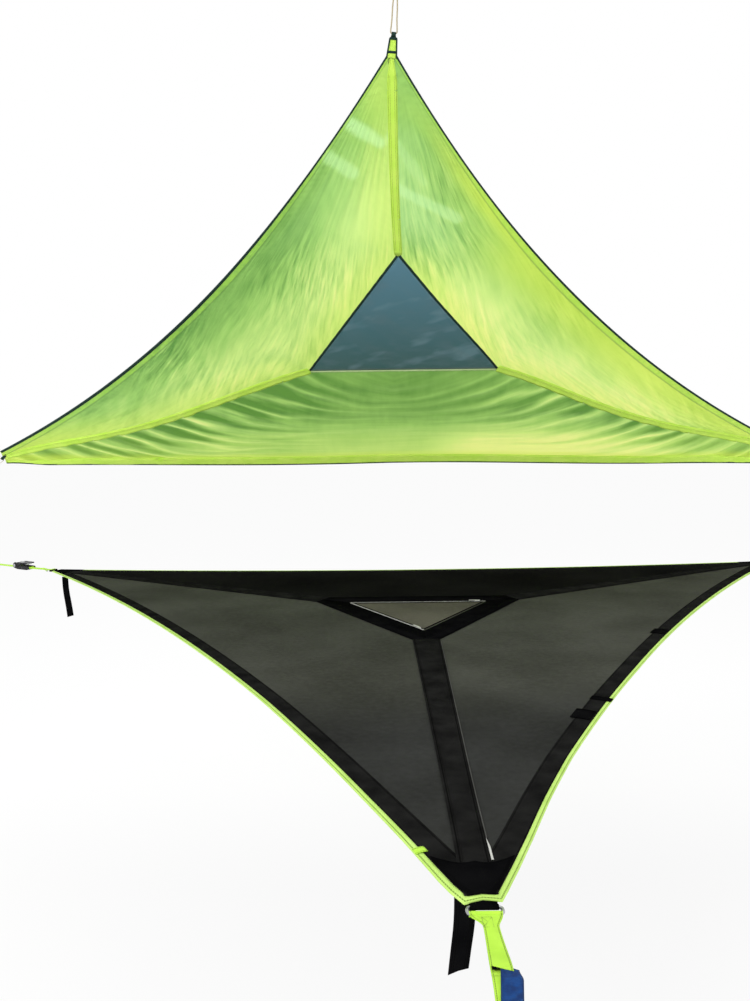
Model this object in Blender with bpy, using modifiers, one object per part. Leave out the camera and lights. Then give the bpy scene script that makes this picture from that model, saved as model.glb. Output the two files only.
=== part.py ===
"""Hammock tent: a three-corner mesh hammock stretched flat between three webbing
tethers with ratchets, and a pitched three-corner canopy above it.

Metres, +Z up. The origin is the middle of the hammock, in the plane of its cloth.
The near corner points to -Y, and the canopy is open on that side.
"""

import math

import bmesh
import bpy
from mathutils import Matrix, Vector

# Hammock cloth
SIDE = 4.0                  # from corner to corner, before the corners are cut off
EDGE_BOW = 0.15             # how far the middle of each edge is drawn in
CORNER_CUT = 0.078          # from the corner point to the straight cut across it
MESH_THICKNESS = 0.0012
BAND_THICKNESS = 0.0015
GAP = 0.0003                # between pieces that touch

# Bands sewn on the hammock
EDGING_WIDTH = 0.014
EDGE_BAND_WIDTH = 0.045
SEAM_WIDTH_AT_HATCH = 0.098
SEAM_WIDTH_AT_CORNER = 0.054
SEAM_END = 0.165            # from the corner point to the end of the seam band

# Hatch, a triangle in the middle of the hammock
HATCH_SIDE = 0.58
HATCH_LIP = 0.012           # strip round the opening that carries the zip
HATCH_BAND_WIDTH = 0.108
ZIP_HEIGHT = 0.0012
SLIDER_SIZE = (0.022, 0.0095, 0.0055)
SLIDER_END = 0.040          # from a corner of the hatch to a parked slider
PULL_SIZE = (0.034, 0.007, 0.0016)

# Webbing, rings and ratchets of the tethers
WEBBING_WIDTH = 0.035
WEBBING_THICKNESS = 0.0015
RING_WIRE = 0.006
RING_SIDE_ROOM = 0.0025     # beside the loop
RING_BEND = 0.007           # middle radius of the ring's corners
RING_BAR_SPACING = 0.020
RING_AT = -0.052            # inner bar of the ring, outwards from the corner point
LOOP_TAIL = 0.120
LOOP_WIDTH = 0.048          # of the black loops that hold the rings
BOLT_DIAMETER = 0.007
PLATE = 0.0025
AXLE_DIAMETER = 0.014
AXLE_FLANGE = (0.009, 0.0025)   # radius and thickness
WHEEL_DIAMETER = 0.034
WHEEL_TEETH = 12
TOOTH_DEPTH = 0.0045
ROLL_LAYERS = 3
AXLE_FROM_BOLT = 0.105
FRAME_BASE = 0.0105         # from the bolt's axis down to the underside of the base
FRAME_BASE_END = 0.018      # from the axle to the end of the base
FRAME_BOLT_RADIUS = 0.009   # of the side plates round the bolt
FRAME_AXLE_RADIUS = 0.0165  # of the side plates round the axle
HANDLE_LENGTH = 0.100
HANDLE_ARM_RADIUS = 0.0145
GRIP_THICKNESS = 0.003
GRIP_ABOVE_WHEEL = 0.0027   # from the wheels' top to the top of the grip
GRIP_GAP_END = 0.062        # from the axle to the inner end of the finger gap
TRIGGER_END = 0.012         # from the end of the handle to the trigger's lip
TRIGGER_LIP = 0.006
EYE_END = 1.27              # outer end of the tree strap, outwards from the corner point
EYE_LENGTH = 0.080
EYE_HEIGHT = 0.016
BOLT_AT_SIDE_CORNER = 0.130
BOLT_AT_NEAR_CORNER = 0.300

# Straps that hang from the hammock, and the tag on the near tether
HANG_WIDTH = 0.032
HANG_LENGTH_SIDE = 0.215
HANG_LENGTH_NEAR = 0.140
HANG_FROM_SIDE_CORNER = 0.290
HANG_FROM_NEAR_CORNER = 0.095
HANG_BESIDE_NEAR_CORNER = 0.034
TAG_SIZE = (0.090, 0.032, 0.0012)
TAG_AT = 0.111
TAG_OVERHANG = 0.018

# Canopy
CANOPY_WIDTH = 4.59
CANOPY_OFFSET = -0.11
CANOPY_LOW = (1.22, 0.579)      # y and z of the lower edge
CANOPY_HIGH = (-0.50, 2.072)    # y and z of the peak
CANOPY_THICKNESS = 0.001
CANOPY_EDGE_BOW = 0.213
CANOPY_CORNER_CUT = 0.19
CANOPY_PEAK_WIDTH = 0.035
HEM_BOW = 0.060
HEM_DROP = 0.040
HEM_WIDTH = 0.045
SEAM_DROP = 0.048
CANOPY_SEAM_WIDTH = 0.036
PIPING_WIDTH = 0.010
WINDOW_WIDTH = 0.88
WINDOW_SHIFT = 0.06
WINDOW_LOW = 0.705
WINDOW_HIGH = 1.39
FOLD_HEIGHT = 0.005
FOLD_COUNT = 9

# Cords of the canopy
CORD_DIAMETER = 0.003
CANOPY_LOOP_WIDTH = 0.015
CANOPY_LOOP_TAIL = 0.030
CANOPY_LOOP_EYE = 0.005     # radius of the eye
CANOPY_LOOP_REACH = 0.009   # from the sewn edge to the start of the eye
PEAK_LOOP_WIDTH = 0.022
PEAK_NECK = 0.058           # how much further the loop of the peak reaches
KNOT_AT = 0.085
PEAK_CORD_LEAN = 0.10
PEAK_CORD_LENGTH = 0.240
PEAK_LOOP_RADIUS = 0.030
HOOK_WIRE = 0.004

CORNERS = {"near": -90.0, "right": 30.0, "left": 150.0}
SECTORS = {"back": 0.0, "left": 120.0, "right": -120.0}
STEPS = 16                  # stretches along each edge of the hammock

CENTRE_TO_CORNER = SIDE / math.sqrt(3.0)
CENTRE_TO_EDGE = SIDE / (2.0 * math.sqrt(3.0))
HATCH_IN = HATCH_SIDE / (2.0 * math.sqrt(3.0))
HATCH_OUT = HATCH_IN + HATCH_LIP + HATCH_BAND_WIDTH
LAYER = MESH_THICKNESS / 2.0 + GAP
ROLL_RADIUS = AXLE_DIAMETER / 2.0 + GAP + ROLL_LAYERS * WEBBING_THICKNESS
AXLE_HEIGHT = ROLL_RADIUS - WEBBING_THICKNESS
WHEEL_INNER = WEBBING_WIDTH / 2.0 + 2.0 * GAP
WHEEL_OUTER = WHEEL_INNER + 0.0024
FRAME_INNER = WHEEL_OUTER + GAP
FRAME_OUTER = FRAME_INNER + PLATE
HANDLE_INNER = FRAME_OUTER + GAP
HANDLE_OUTER = HANDLE_INNER + PLATE


def clear_scene():
    for item in list(bpy.data.objects):
        bpy.data.objects.remove(item, do_unlink=True)


def make_collection(name):
    collection = bpy.data.collections.new(name)
    bpy.context.scene.collection.children.link(collection)
    return collection


def make_material(name, colour, roughness, metallic=0.0):
    material = bpy.data.materials.new(name)
    material.use_nodes = True
    shader = material.node_tree.nodes["Principled BSDF"]
    shader.inputs["Base Color"].default_value = (*colour, 1.0)
    shader.inputs["Roughness"].default_value = roughness
    shader.inputs["Metallic"].default_value = metallic
    return material


clear_scene()
MODEL = make_collection("hammock_tent")
CUTTERS = make_collection("cutters")
BLACK_MESH = make_material("black_mesh", (0.045, 0.045, 0.040), 0.8)
DOOR_MESH = make_material("door_mesh", (0.11, 0.105, 0.090), 0.8)
BLACK_WEBBING = make_material("black_webbing", (0.012, 0.012, 0.013), 0.7)
LIME_WEBBING = make_material("lime_webbing", (0.45, 0.80, 0.05), 0.6)
LIME_NYLON = make_material("lime_nylon", (0.38, 0.68, 0.08), 0.45)
SLATE_NYLON = make_material("slate_nylon", (0.035, 0.085, 0.085), 0.45)
DARK_BINDING = make_material("dark_binding", (0.02, 0.06, 0.05), 0.7)
BLUE_LABEL = make_material("blue_label", (0.010, 0.085, 0.36), 0.6)
STEEL = make_material("steel", (0.55, 0.55, 0.56), 0.3, 1.0)
DARK_STEEL = make_material("dark_steel", (0.05, 0.05, 0.055), 0.45, 0.8)
ZIP_NYLON = make_material("zip_nylon", (0.42, 0.42, 0.40), 0.5)
TAN_CORD = make_material("tan_cord", (0.42, 0.36, 0.26), 0.8)


def add_object(name, data, material, collection=None):
    item = bpy.data.objects.new(name, data)
    (collection or MODEL).objects.link(item)
    if material is not None:
        data.materials.append(material)
    return item


def outline_curve(name, loops, thickness):
    """A flat shape whose first loop is its outline and whose others are holes."""
    curve = bpy.data.curves.new(name, "CURVE")
    curve.dimensions = "2D"
    curve.fill_mode = "BOTH"
    curve.extrude = thickness / 2.0
    for loop in loops:
        spline = curve.splines.new("POLY")
        spline.points.add(len(loop) - 1)
        for point, (x, y) in zip(spline.points, loop):
            point.co = (x, y, 0.0, 1.0)
        spline.use_cyclic_u = True
    return curve


def add_outline(name, loops, thickness, material, matrix=Matrix.Identity(4)):
    item = add_object(name, outline_curve(name, loops, thickness), material)
    item.matrix_world = matrix
    return item


def curve_to_mesh(item):
    """The same piece as a mesh with welded caps, ready to be cut or joined."""
    bpy.context.view_layer.update()
    evaluated = item.evaluated_get(bpy.context.evaluated_depsgraph_get())
    mesh = bpy.data.meshes.new_from_object(evaluated)
    shape = bmesh.new()
    shape.from_mesh(mesh)
    bmesh.ops.remove_doubles(shape, verts=shape.verts, dist=0.00001)
    bmesh.ops.recalc_face_normals(shape, faces=shape.faces)
    shape.to_mesh(mesh)
    shape.free()
    name = item.name
    matrix = item.matrix_world.copy()
    collection = item.users_collection[0]
    bpy.data.objects.remove(item, do_unlink=True)
    solid = bpy.data.objects.new(name, mesh)
    collection.objects.link(solid)
    solid.matrix_world = matrix
    return solid


def add_tube(name, points, diameter, material, cyclic=False, sides=2):
    curve = bpy.data.curves.new(name, "CURVE")
    curve.dimensions = "3D"
    curve.bevel_depth = diameter / 2.0
    curve.bevel_resolution = sides
    curve.use_fill_caps = not cyclic
    spline = curve.splines.new("POLY")
    spline.points.add(len(points) - 1)
    for point, place in zip(spline.points, points):
        point.co = (*place, 1.0)
    spline.use_cyclic_u = cyclic
    return add_object(name, curve, material)


def add_grid(name, rows, thickness, material):
    """A sheet through rows of points, made solid about its middle.

    Every cell is folded along its higher diagonal, so that layered sheets match.
    """
    mesh = bpy.data.meshes.new(name)
    shape = bmesh.new()
    grid = [[shape.verts.new(point) for point in row] for row in rows]
    for low, high in zip(grid, grid[1:]):
        for i in range(len(low) - 1):
            a, b, c, d = low[i], low[i + 1], high[i + 1], high[i]
            if a.co.z + c.co.z > b.co.z + d.co.z:
                shape.faces.new((a, b, c))
                shape.faces.new((a, c, d))
            else:
                shape.faces.new((a, b, d))
                shape.faces.new((b, c, d))
    shape.to_mesh(mesh)
    shape.free()
    item = add_object(name, mesh, material)
    solidify = item.modifiers.new("thickness", "SOLIDIFY")
    solidify.thickness = thickness
    solidify.offset = 0.0
    return item


def as_cutter(item):
    for collection in list(item.users_collection):
        collection.objects.unlink(item)
    CUTTERS.objects.link(item)
    item.hide_render = True
    item.display_type = "WIRE"
    return item


def apply_boolean(item, other, operation):
    modifier = item.modifiers.new(operation.lower(), "BOOLEAN")
    modifier.operation = operation
    modifier.solver = "EXACT"
    modifier.object = as_cutter(other)


def add_cylinder(name, radius, length, matrix, segments=24):
    """A cylinder along the local Z axis, centred on the matrix's place."""
    mesh = bpy.data.meshes.new(name)
    shape = bmesh.new()
    bmesh.ops.create_cone(
        shape, cap_ends=True, segments=segments,
        radius1=radius, radius2=radius, depth=length,
    )
    shape.to_mesh(mesh)
    shape.free()
    item = bpy.data.objects.new(name, mesh)
    MODEL.objects.link(item)
    item.matrix_world = matrix
    return item


def add_block(name, size, matrix, bevel=0.0):
    mesh = bpy.data.meshes.new(name)
    shape = bmesh.new()
    bmesh.ops.create_cube(shape, size=1.0)
    bmesh.ops.scale(shape, vec=size, verts=shape.verts)
    shape.to_mesh(mesh)
    shape.free()
    item = bpy.data.objects.new(name, mesh)
    MODEL.objects.link(item)
    item.matrix_world = matrix
    if bevel:
        rounding = item.modifiers.new("rounding", "BEVEL")
        rounding.width = bevel
        rounding.segments = 2
    return item


def arc(centre, radius, start, end, steps):
    """Points on an arc, angles in degrees, both ends included."""
    points = []
    for i in range(steps + 1):
        angle = math.radians(start + (end - start) * i / steps)
        points.append((centre[0] + radius * math.cos(angle), centre[1] + radius * math.sin(angle)))
    return points


def circle(centre, radius, steps=24):
    return arc(centre, radius, 0.0, 360.0 * (steps - 1) / steps, steps - 1)


def find_root(function, low, high):
    """Where the function changes sign between low and high, by halving."""
    low_is_negative = function(low) < 0.0
    for _ in range(60):
        middle = (low + high) / 2.0
        if (function(middle) < 0.0) == low_is_negative:
            low = middle
        else:
            high = middle
    return (low + high) / 2.0


def smooth_path(points, spacing, bends=None):
    """Points on a smooth curve through the given points.

    They are this far apart, and closer together near the middle of the bends.
    """
    points = [Vector(point) for point in points]
    ends = [2.0 * points[0] - points[1]] + points + [2.0 * points[-1] - points[-2]]
    fine = []
    for i in range(1, len(ends) - 2):
        a, b, c, d = ends[i - 1:i + 3]
        for k in range(24):
            t = k / 24.0
            fine.append(
                0.5 * (2.0 * b + (c - a) * t + (2.0 * a - 5.0 * b + 4.0 * c - d) * t ** 2
                       + (3.0 * b - a - 3.0 * c + d) * t ** 3)
            )
    fine.append(points[-1])
    path = [fine[0]]
    walked = 0.0
    for before, after in zip(fine, fine[1:]):
        walked += (after - before).length
        close = bends is not None and (after - bends).length < 0.022
        if walked >= (0.002 if close else spacing):
            path.append(after)
            walked = 0.0
    if (path[-1] - fine[-1]).length < spacing / 2.0 and len(path) > 2:
        path.pop()
    path.append(fine[-1])
    return path


# Plan of the hammock, drawn for the back edge and turned for the other two

def edge_point(t, inset=0.0):
    """A point on the back edge, from its left end at t = 0 to its right end."""
    bow = 4.0 * EDGE_BOW * t * (1.0 - t)
    return (SIDE * (t - 0.5), CENTRE_TO_EDGE - bow - inset)


def along_left_seam(point):
    """Distance from the centre along the line to the left corner."""
    return point[0] * math.cos(math.radians(150.0)) + point[1] * math.sin(math.radians(150.0))


def off_left_seam(point):
    """Distance from that line, positive towards the back."""
    return point[0] * math.cos(math.radians(60.0)) + point[1] * math.sin(math.radians(60.0))


def from_left_seam(along, off):
    x = along * math.cos(math.radians(150.0)) + off * math.cos(math.radians(60.0))
    y = along * math.sin(math.radians(150.0)) + off * math.sin(math.radians(60.0))
    return (x, y)


def edge_at_cut(along, inset):
    """Where the inset edge meets the line across the corner."""
    return find_root(lambda t: along_left_seam(edge_point(t, inset)) - along, 0.0, 0.4)


def edge_run(start, inset, steps=STEPS):
    """The inset edge from t = start to its mirror place."""
    return [edge_point(start + (1.0 - 2.0 * start) * i / steps, inset) for i in range(steps + 1)]


def mirrored(points):
    return [(-x, y) for x, y in reversed(points)]


def seam_half_width(along):
    start = 2.0 * HATCH_OUT - SEAM_WIDTH_AT_HATCH / 2.0 * math.sqrt(3.0)
    end = CENTRE_TO_CORNER - SEAM_END
    share = (along - start) / (end - start)
    return (SEAM_WIDTH_AT_HATCH + (SEAM_WIDTH_AT_CORNER - SEAM_WIDTH_AT_HATCH) * share) / 2.0


def layer_matrix(angle, height):
    return Matrix.Rotation(math.radians(angle), 4, "Z") @ Matrix.Translation((0.0, 0.0, height))


def make_mesh_panels():
    cut = CENTRE_TO_CORNER - CORNER_CUT
    off = GAP
    inner = from_left_seam((HATCH_IN - off * math.sin(math.radians(60.0))) / 0.5, off)
    start = edge_at_cut(cut, 0.0)
    left_end = [inner, from_left_seam(cut, off)]
    loop = left_end + edge_run(start, 0.0) + mirrored(left_end)
    for name, angle in SECTORS.items():
        add_outline(f"mesh_panel_{name}", [loop], MESH_THICKNESS, BLACK_MESH, layer_matrix(angle, 0.0))


def make_edge_bands():
    outer_inset = EDGING_WIDTH + GAP
    inner_inset = outer_inset + EDGE_BAND_WIDTH
    cut = CENTRE_TO_CORNER - CORNER_CUT - outer_inset
    seam_end = CENTRE_TO_CORNER - SEAM_END

    def clear_of_seam(t):
        point = edge_point(t, inner_inset)
        return off_left_seam(point) - seam_half_width(along_left_seam(point)) - GAP

    inner_start = find_root(clear_of_seam, 0.01, 0.4)
    outer_start = edge_at_cut(cut, outer_inset)
    left_end = [
        from_left_seam(seam_end, seam_half_width(seam_end) + GAP),
        from_left_seam(seam_end + GAP, GAP / 2.0),
        from_left_seam(cut, GAP / 2.0),
    ]
    outer = edge_run(outer_start, outer_inset)
    inner = list(reversed(edge_run(inner_start, inner_inset)))
    loop = left_end + outer + mirrored(left_end) + inner
    height = LAYER + BAND_THICKNESS / 2.0
    for name, angle in SECTORS.items():
        add_outline(
            f"edge_band_{name}", [loop], BAND_THICKNESS, BLACK_WEBBING, layer_matrix(angle, height)
        )


def turned(points, angle):
    turn = math.radians(angle)
    return [
        (x * math.cos(turn) - y * math.sin(turn), x * math.sin(turn) + y * math.cos(turn))
        for x, y in points
    ]


def make_edging():
    """One length of lime webbing round the whole edge and across the cut corners."""
    loops = []
    for inset in (0.0, EDGING_WIDTH):
        start = edge_at_cut(CENTRE_TO_CORNER - CORNER_CUT - inset, inset)
        loop = []
        for angle in (0.0, -120.0, -240.0):
            loop += turned(edge_run(start, inset), angle)
        loops.append(loop)
    height = LAYER + BAND_THICKNESS / 2.0
    add_outline("edge_webbing", loops, BAND_THICKNESS, LIME_WEBBING, layer_matrix(0.0, height))


def make_seam_bands():
    start = 2.0 * HATCH_OUT - SEAM_WIDTH_AT_HATCH / 2.0 * math.sqrt(3.0) + GAP
    end = CENTRE_TO_CORNER - SEAM_END
    loop = [
        (start, -seam_half_width(start)),
        (end, -seam_half_width(end)),
        (end, seam_half_width(end)),
        (start, seam_half_width(start)),
    ]
    height = LAYER + BAND_THICKNESS / 2.0
    for name, angle in CORNERS.items():
        add_outline(
            f"seam_band_{name}", [loop], BAND_THICKNESS, BLACK_WEBBING, layer_matrix(angle, height)
        )


# Hatch

def hatch_corner(inradius, angle):
    turn = math.radians(angle)
    return (2.0 * inradius * math.cos(turn), 2.0 * inradius * math.sin(turn))


def hatch_triangle(inradius):
    return [hatch_corner(inradius, angle) for angle in (-90.0, 30.0, 150.0)]


def make_hatch_frame():
    half = SEAM_WIDTH_AT_HATCH / 2.0
    along = 2.0 * HATCH_OUT - half * math.sqrt(3.0)
    outer = []
    for angle in (-90.0, 30.0, 150.0):
        outer += turned([(along, -half), (along, half)], angle)
    hole = hatch_triangle(HATCH_IN + HATCH_LIP)
    height = LAYER + BAND_THICKNESS / 2.0
    add_outline(
        "hatch_frame", [outer, hole], BAND_THICKNESS, BLACK_WEBBING, layer_matrix(0.0, height)
    )


def make_hatch_door():
    """The door hangs on the side between the near and right corners of the hatch."""
    hinge = hatch_hinge()
    near = Vector((*hatch_corner(HATCH_IN, -90.0), MESH_THICKNESS / 2.0))
    loop = [
        (x - hinge.x, y - hinge.y) for x, y in hatch_triangle(HATCH_IN - GAP)
    ]
    place = Matrix.Translation((hinge.x, hinge.y, near.z))
    item = curve_to_mesh(add_outline("hatch_door", [loop], MESH_THICKNESS, DOOR_MESH))
    item.data.transform(Matrix.Translation((0.0, 0.0, -MESH_THICKNESS / 2.0)))
    item.matrix_world = place


def hatch_hinge():
    near = Vector((*hatch_corner(HATCH_IN, -90.0), 0.0))
    right = Vector((*hatch_corner(HATCH_IN, 30.0), 0.0))
    return (near + right) / 2.0


def make_zip():
    inner = HATCH_IN
    outer = HATCH_IN + HATCH_LIP - GAP
    loop = [hatch_corner(outer, angle) for angle in (30.0, 150.0, 270.0)]
    loop += [hatch_corner(inner, angle) for angle in (270.0, 150.0, 30.0)]
    height = LAYER + ZIP_HEIGHT / 2.0
    add_outline("zip_track", [loop], ZIP_HEIGHT, ZIP_NYLON, layer_matrix(0.0, height))


def make_slider(name, corner_angle, towards_angle):
    """A slider parked near one corner of the hatch, its pull lying along the track."""
    middle = HATCH_IN + HATCH_LIP / 2.0
    start = Vector((*hatch_corner(middle, corner_angle), 0.0))
    end = Vector((*hatch_corner(middle, towards_angle), 0.0))
    run = (end - start).normalized()
    height = LAYER + ZIP_HEIGHT + GAP
    place = start + run * SLIDER_END
    turn = Matrix.Rotation(math.atan2(run.y, run.x), 4, "Z")
    frame = Matrix.Translation((place.x, place.y, height)) @ turn
    length, width, tall = SLIDER_SIZE
    body = add_block(name, (length, width, tall), frame, bevel=0.0012)
    body.data.transform(Matrix.Translation((0.0, 0.0, tall / 2.0)))
    body.data.materials.append(ZIP_NYLON)
    pull_length, pull_width, pull_tall = PULL_SIZE
    eye = (pull_length - 0.004, 0.0)
    outline = arc((0.0, 0.0), pull_width / 2.0, 90.0, 270.0, 6)
    outline += arc(eye, pull_width / 2.0, -90.0, 90.0, 6)
    pull = outline_curve(name + "_pull", [outline, circle(eye, 0.0018, 10)], pull_tall)
    item = add_object(name + "_pull", pull, None)
    item.matrix_world = frame @ Matrix.Translation((0.004, 0.0, tall - pull_tall / 2.0 + 0.0004))
    apply_boolean(body, curve_to_mesh(item), "UNION")


# Tethers: everything between a corner of the hammock and its tree

def corner_matrix(angle):
    """Axes of a tether: X outwards, Z up, from the corner point of the hammock."""
    turn = Matrix.Rotation(math.radians(angle), 4, "Z")
    return turn @ Matrix.Translation((CENTRE_TO_CORNER, 0.0, 0.0))


def profile_matrix(angle, x=0.0, z=0.0):
    """Axes for a shape drawn from the side: X outwards, Y up, extruded across."""
    tilt = Matrix.Rotation(math.radians(90.0), 4, "X")
    return corner_matrix(angle) @ Matrix.Translation((x, 0.0, z)) @ tilt


def strip_with_eyes(inner_x, outer_x, low, high, inner_eye, outer_eye):
    """Side view of doubled webbing with a round eye at its ends.

    low and high are the faces of the strip, and an eye is centred at height 0. An eye
    is given by the radius of its hole, and None is a plain end.
    """
    holes = []
    if inner_eye is None:
        loop = [(inner_x, high), (inner_x, low)]
    else:
        radius = inner_eye + WEBBING_THICKNESS
        above = math.degrees(math.asin(high / radius))
        below = math.degrees(math.asin(low / radius))
        loop = arc((inner_x, 0.0), radius, above, 360.0 + below, 14)
        holes.append(circle((inner_x, 0.0), inner_eye, 16))
    radius = outer_eye + WEBBING_THICKNESS
    above = math.degrees(math.asin(high / radius))
    below = math.degrees(math.asin(low / radius))
    loop += arc((outer_x, 0.0), radius, -180.0 - below, 180.0 - above, 14)
    holes.append(circle((outer_x, 0.0), outer_eye, 16))
    return [loop] + holes


def bolt_at(corner):
    return BOLT_AT_NEAR_CORNER if corner == "near" else BOLT_AT_SIDE_CORNER


def make_corner_loop(corner, angle):
    """Black webbing sewn under the corner, its end folded round the ring."""
    high = -LAYER
    low = high - 2.0 * WEBBING_THICKNESS
    eye = RING_WIRE / 2.0 + GAP
    loops = strip_with_eyes(RING_AT - LOOP_TAIL, RING_AT, low, high, None, eye)
    add_outline(
        f"corner_loop_{corner}", loops, LOOP_WIDTH, BLACK_WEBBING, profile_matrix(angle)
    )


def make_ring(corner, angle):
    bend = RING_BEND
    half = LOOP_WIDTH / 2.0 + RING_SIDE_ROOM + RING_WIRE / 2.0
    outer_x = RING_AT + RING_BAR_SPACING
    points = arc((outer_x - bend, half - bend), bend, 0.0, 90.0, 4)
    points += arc((RING_AT + bend, half - bend), bend, 90.0, 180.0, 4)
    points += arc((RING_AT + bend, bend - half), bend, 180.0, 270.0, 4)
    points += arc((outer_x - bend, bend - half), bend, 270.0, 360.0, 4)
    places = [(x, y, 0.0) for x, y in points]
    ring = add_tube(f"ring_{corner}", places, RING_WIRE, STEEL, cyclic=True)
    ring.matrix_world = corner_matrix(angle)


def make_corner_strap(corner, angle):
    loops = strip_with_eyes(
        RING_AT + RING_BAR_SPACING, bolt_at(corner), -WEBBING_THICKNESS, WEBBING_THICKNESS,
        RING_WIRE / 2.0 + GAP, BOLT_DIAMETER / 2.0 + GAP,
    )
    add_outline(
        f"corner_strap_{corner}", loops, WEBBING_WIDTH, LIME_WEBBING, profile_matrix(angle)
    )


# Ratchet, drawn from the side about its axle, X outwards

def axle_matrix(corner, angle):
    return profile_matrix(angle, bolt_at(corner) + AXLE_FROM_BOLT, AXLE_HEIGHT)


def side_piece(name, loops, width, material):
    return curve_to_mesh(add_outline(name, loops, width, material))


def baked_mesh(item):
    """The mesh of the piece with its cuts made, which its copies can share."""
    solid = curve_to_mesh(item)
    mesh = solid.data
    bpy.data.objects.remove(solid, do_unlink=True)
    return mesh


def ratchet_frame_mesh():
    bolt = (-AXLE_FROM_BOLT, -AXLE_HEIGHT)
    base_low = bolt[1] - FRAME_BASE
    base_high = base_low + PLATE
    side = arc(bolt, FRAME_BOLT_RADIUS, 90.0, 235.0, 8)
    side += [(bolt[0] + 0.012, base_low), (-FRAME_BASE_END, base_low)]
    side += arc((0.0, 0.0), FRAME_AXLE_RADIUS, -80.0, 100.0, 12)
    side += [(-0.030, 0.0090), (-0.060, -0.0005)]
    frame = side_piece("ratchet_frame", [side], 2.0 * FRAME_OUTER, DARK_STEEL)
    room = [(-0.14, base_high), (0.04, base_high), (0.04, 0.04), (-0.14, 0.04)]
    inside = side_piece(
        "frame_inside", [room, circle(bolt, BOLT_DIAMETER / 2.0, 16)], 2.0 * FRAME_INNER, None
    )
    apply_boolean(frame, inside, "DIFFERENCE")
    hole = AXLE_DIAMETER / 2.0 + GAP
    bore = add_cylinder("frame_bore", hole, 4.0 * FRAME_OUTER, Matrix.Identity(4))
    apply_boolean(frame, bore, "DIFFERENCE")
    return baked_mesh(frame)


def ratchet_handle_mesh():
    grip_high = WHEEL_DIAMETER / 2.0 + GRIP_ABOVE_WHEEL
    grip_low = grip_high - GRIP_THICKNESS
    side = arc((0.0, 0.0), HANDLE_ARM_RADIUS, -130.0, 75.0, 12)
    side += [(-0.030, grip_high), (-HANDLE_LENGTH, grip_high)]
    side += [(-HANDLE_LENGTH, grip_low - 0.004), (-0.050, 0.0085)]
    handle = side_piece("ratchet_handle", [side], 2.0 * HANDLE_OUTER, DARK_STEEL)
    room = [
        (-HANDLE_LENGTH - 0.02, -0.03), (0.03, -0.03), (0.03, 0.04), (-GRIP_GAP_END, 0.04),
        (-GRIP_GAP_END, grip_low), (-HANDLE_LENGTH - 0.02, grip_low),
    ]
    inside = side_piece("handle_inside", [room], 2.0 * HANDLE_INNER, None)
    apply_boolean(handle, inside, "DIFFERENCE")
    hole = AXLE_DIAMETER / 2.0 + GAP
    bore = add_cylinder("handle_bore", hole, 4.0 * HANDLE_OUTER, Matrix.Identity(4))
    apply_boolean(handle, bore, "DIFFERENCE")
    return baked_mesh(handle)


def ratchet_trigger_mesh():
    """The spring pawl: a plate under the grip whose tip drops between the teeth."""
    high = WHEEL_DIAMETER / 2.0 + GRIP_ABOVE_WHEEL - GRIP_THICKNESS - GAP
    low = high - PLATE
    tip = -math.sqrt((WHEEL_DIAMETER / 2.0) ** 2 - low ** 2) - 2.0 * GAP
    back = TRIGGER_END - HANDLE_LENGTH
    side = [
        (tip, low), (tip, high), (back, high), (back, low - TRIGGER_LIP),
        (back + PLATE, low - TRIGGER_LIP), (back + PLATE, low),
    ]
    return baked_mesh(side_piece("ratchet_trigger", [side], 2.0 * (WHEEL_OUTER - GAP), STEEL))


def ratchet_spool_mesh():
    end = HANDLE_OUTER + GAP
    flange_radius, flange = AXLE_FLANGE
    spool = add_cylinder(
        "ratchet_spool", AXLE_DIAMETER / 2.0, 2.0 * (end + flange / 2.0), Matrix.Identity(4)
    )
    spool.data.materials.append(STEEL)
    teeth = []
    for i in range(WHEEL_TEETH):
        angle = 360.0 * i / WHEEL_TEETH
        teeth += arc((0.0, 0.0), WHEEL_DIAMETER / 2.0, angle, angle + 8.0, 1)
        root = WHEEL_DIAMETER / 2.0 - TOOTH_DEPTH
        teeth += arc((0.0, 0.0), root, angle + 10.0, angle + 10.0, 1)[:1]
    for side in (-1.0, 1.0):
        middle = side * (WHEEL_INNER + WHEEL_OUTER) / 2.0
        wheel = add_outline("wheel", [teeth], WHEEL_OUTER - WHEEL_INNER, None)
        wheel = curve_to_mesh(wheel)
        wheel.matrix_world = Matrix.Translation((0.0, 0.0, middle))
        apply_boolean(spool, wheel, "UNION")
        place = Matrix.Translation((0.0, 0.0, side * (end + flange / 2.0)))
        apply_boolean(spool, add_cylinder("flange", flange_radius, flange, place), "UNION")
    slot = add_block("slot", (0.03, 0.0022, 2.0 * WHEEL_INNER), Matrix.Identity(4))
    apply_boolean(spool, slot, "DIFFERENCE")
    return baked_mesh(spool)


def make_ratchets():
    meshes = {
        "ratchet_frame": ratchet_frame_mesh(),
        "ratchet_handle": ratchet_handle_mesh(),
        "ratchet_trigger": ratchet_trigger_mesh(),
        "ratchet_spool": ratchet_spool_mesh(),
    }
    for corner, angle in CORNERS.items():
        for name, mesh in meshes.items():
            item = add_object(f"{name}_{corner}", mesh, None)
            item.matrix_world = axle_matrix(corner, angle)


def eye_centres(corner):
    """Middles of the two round ends of the tree strap's eye, from the corner point."""
    radius = EYE_HEIGHT / 2.0
    outer = EYE_END - radius - WEBBING_THICKNESS
    return outer - EYE_LENGTH + EYE_HEIGHT, outer


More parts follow.
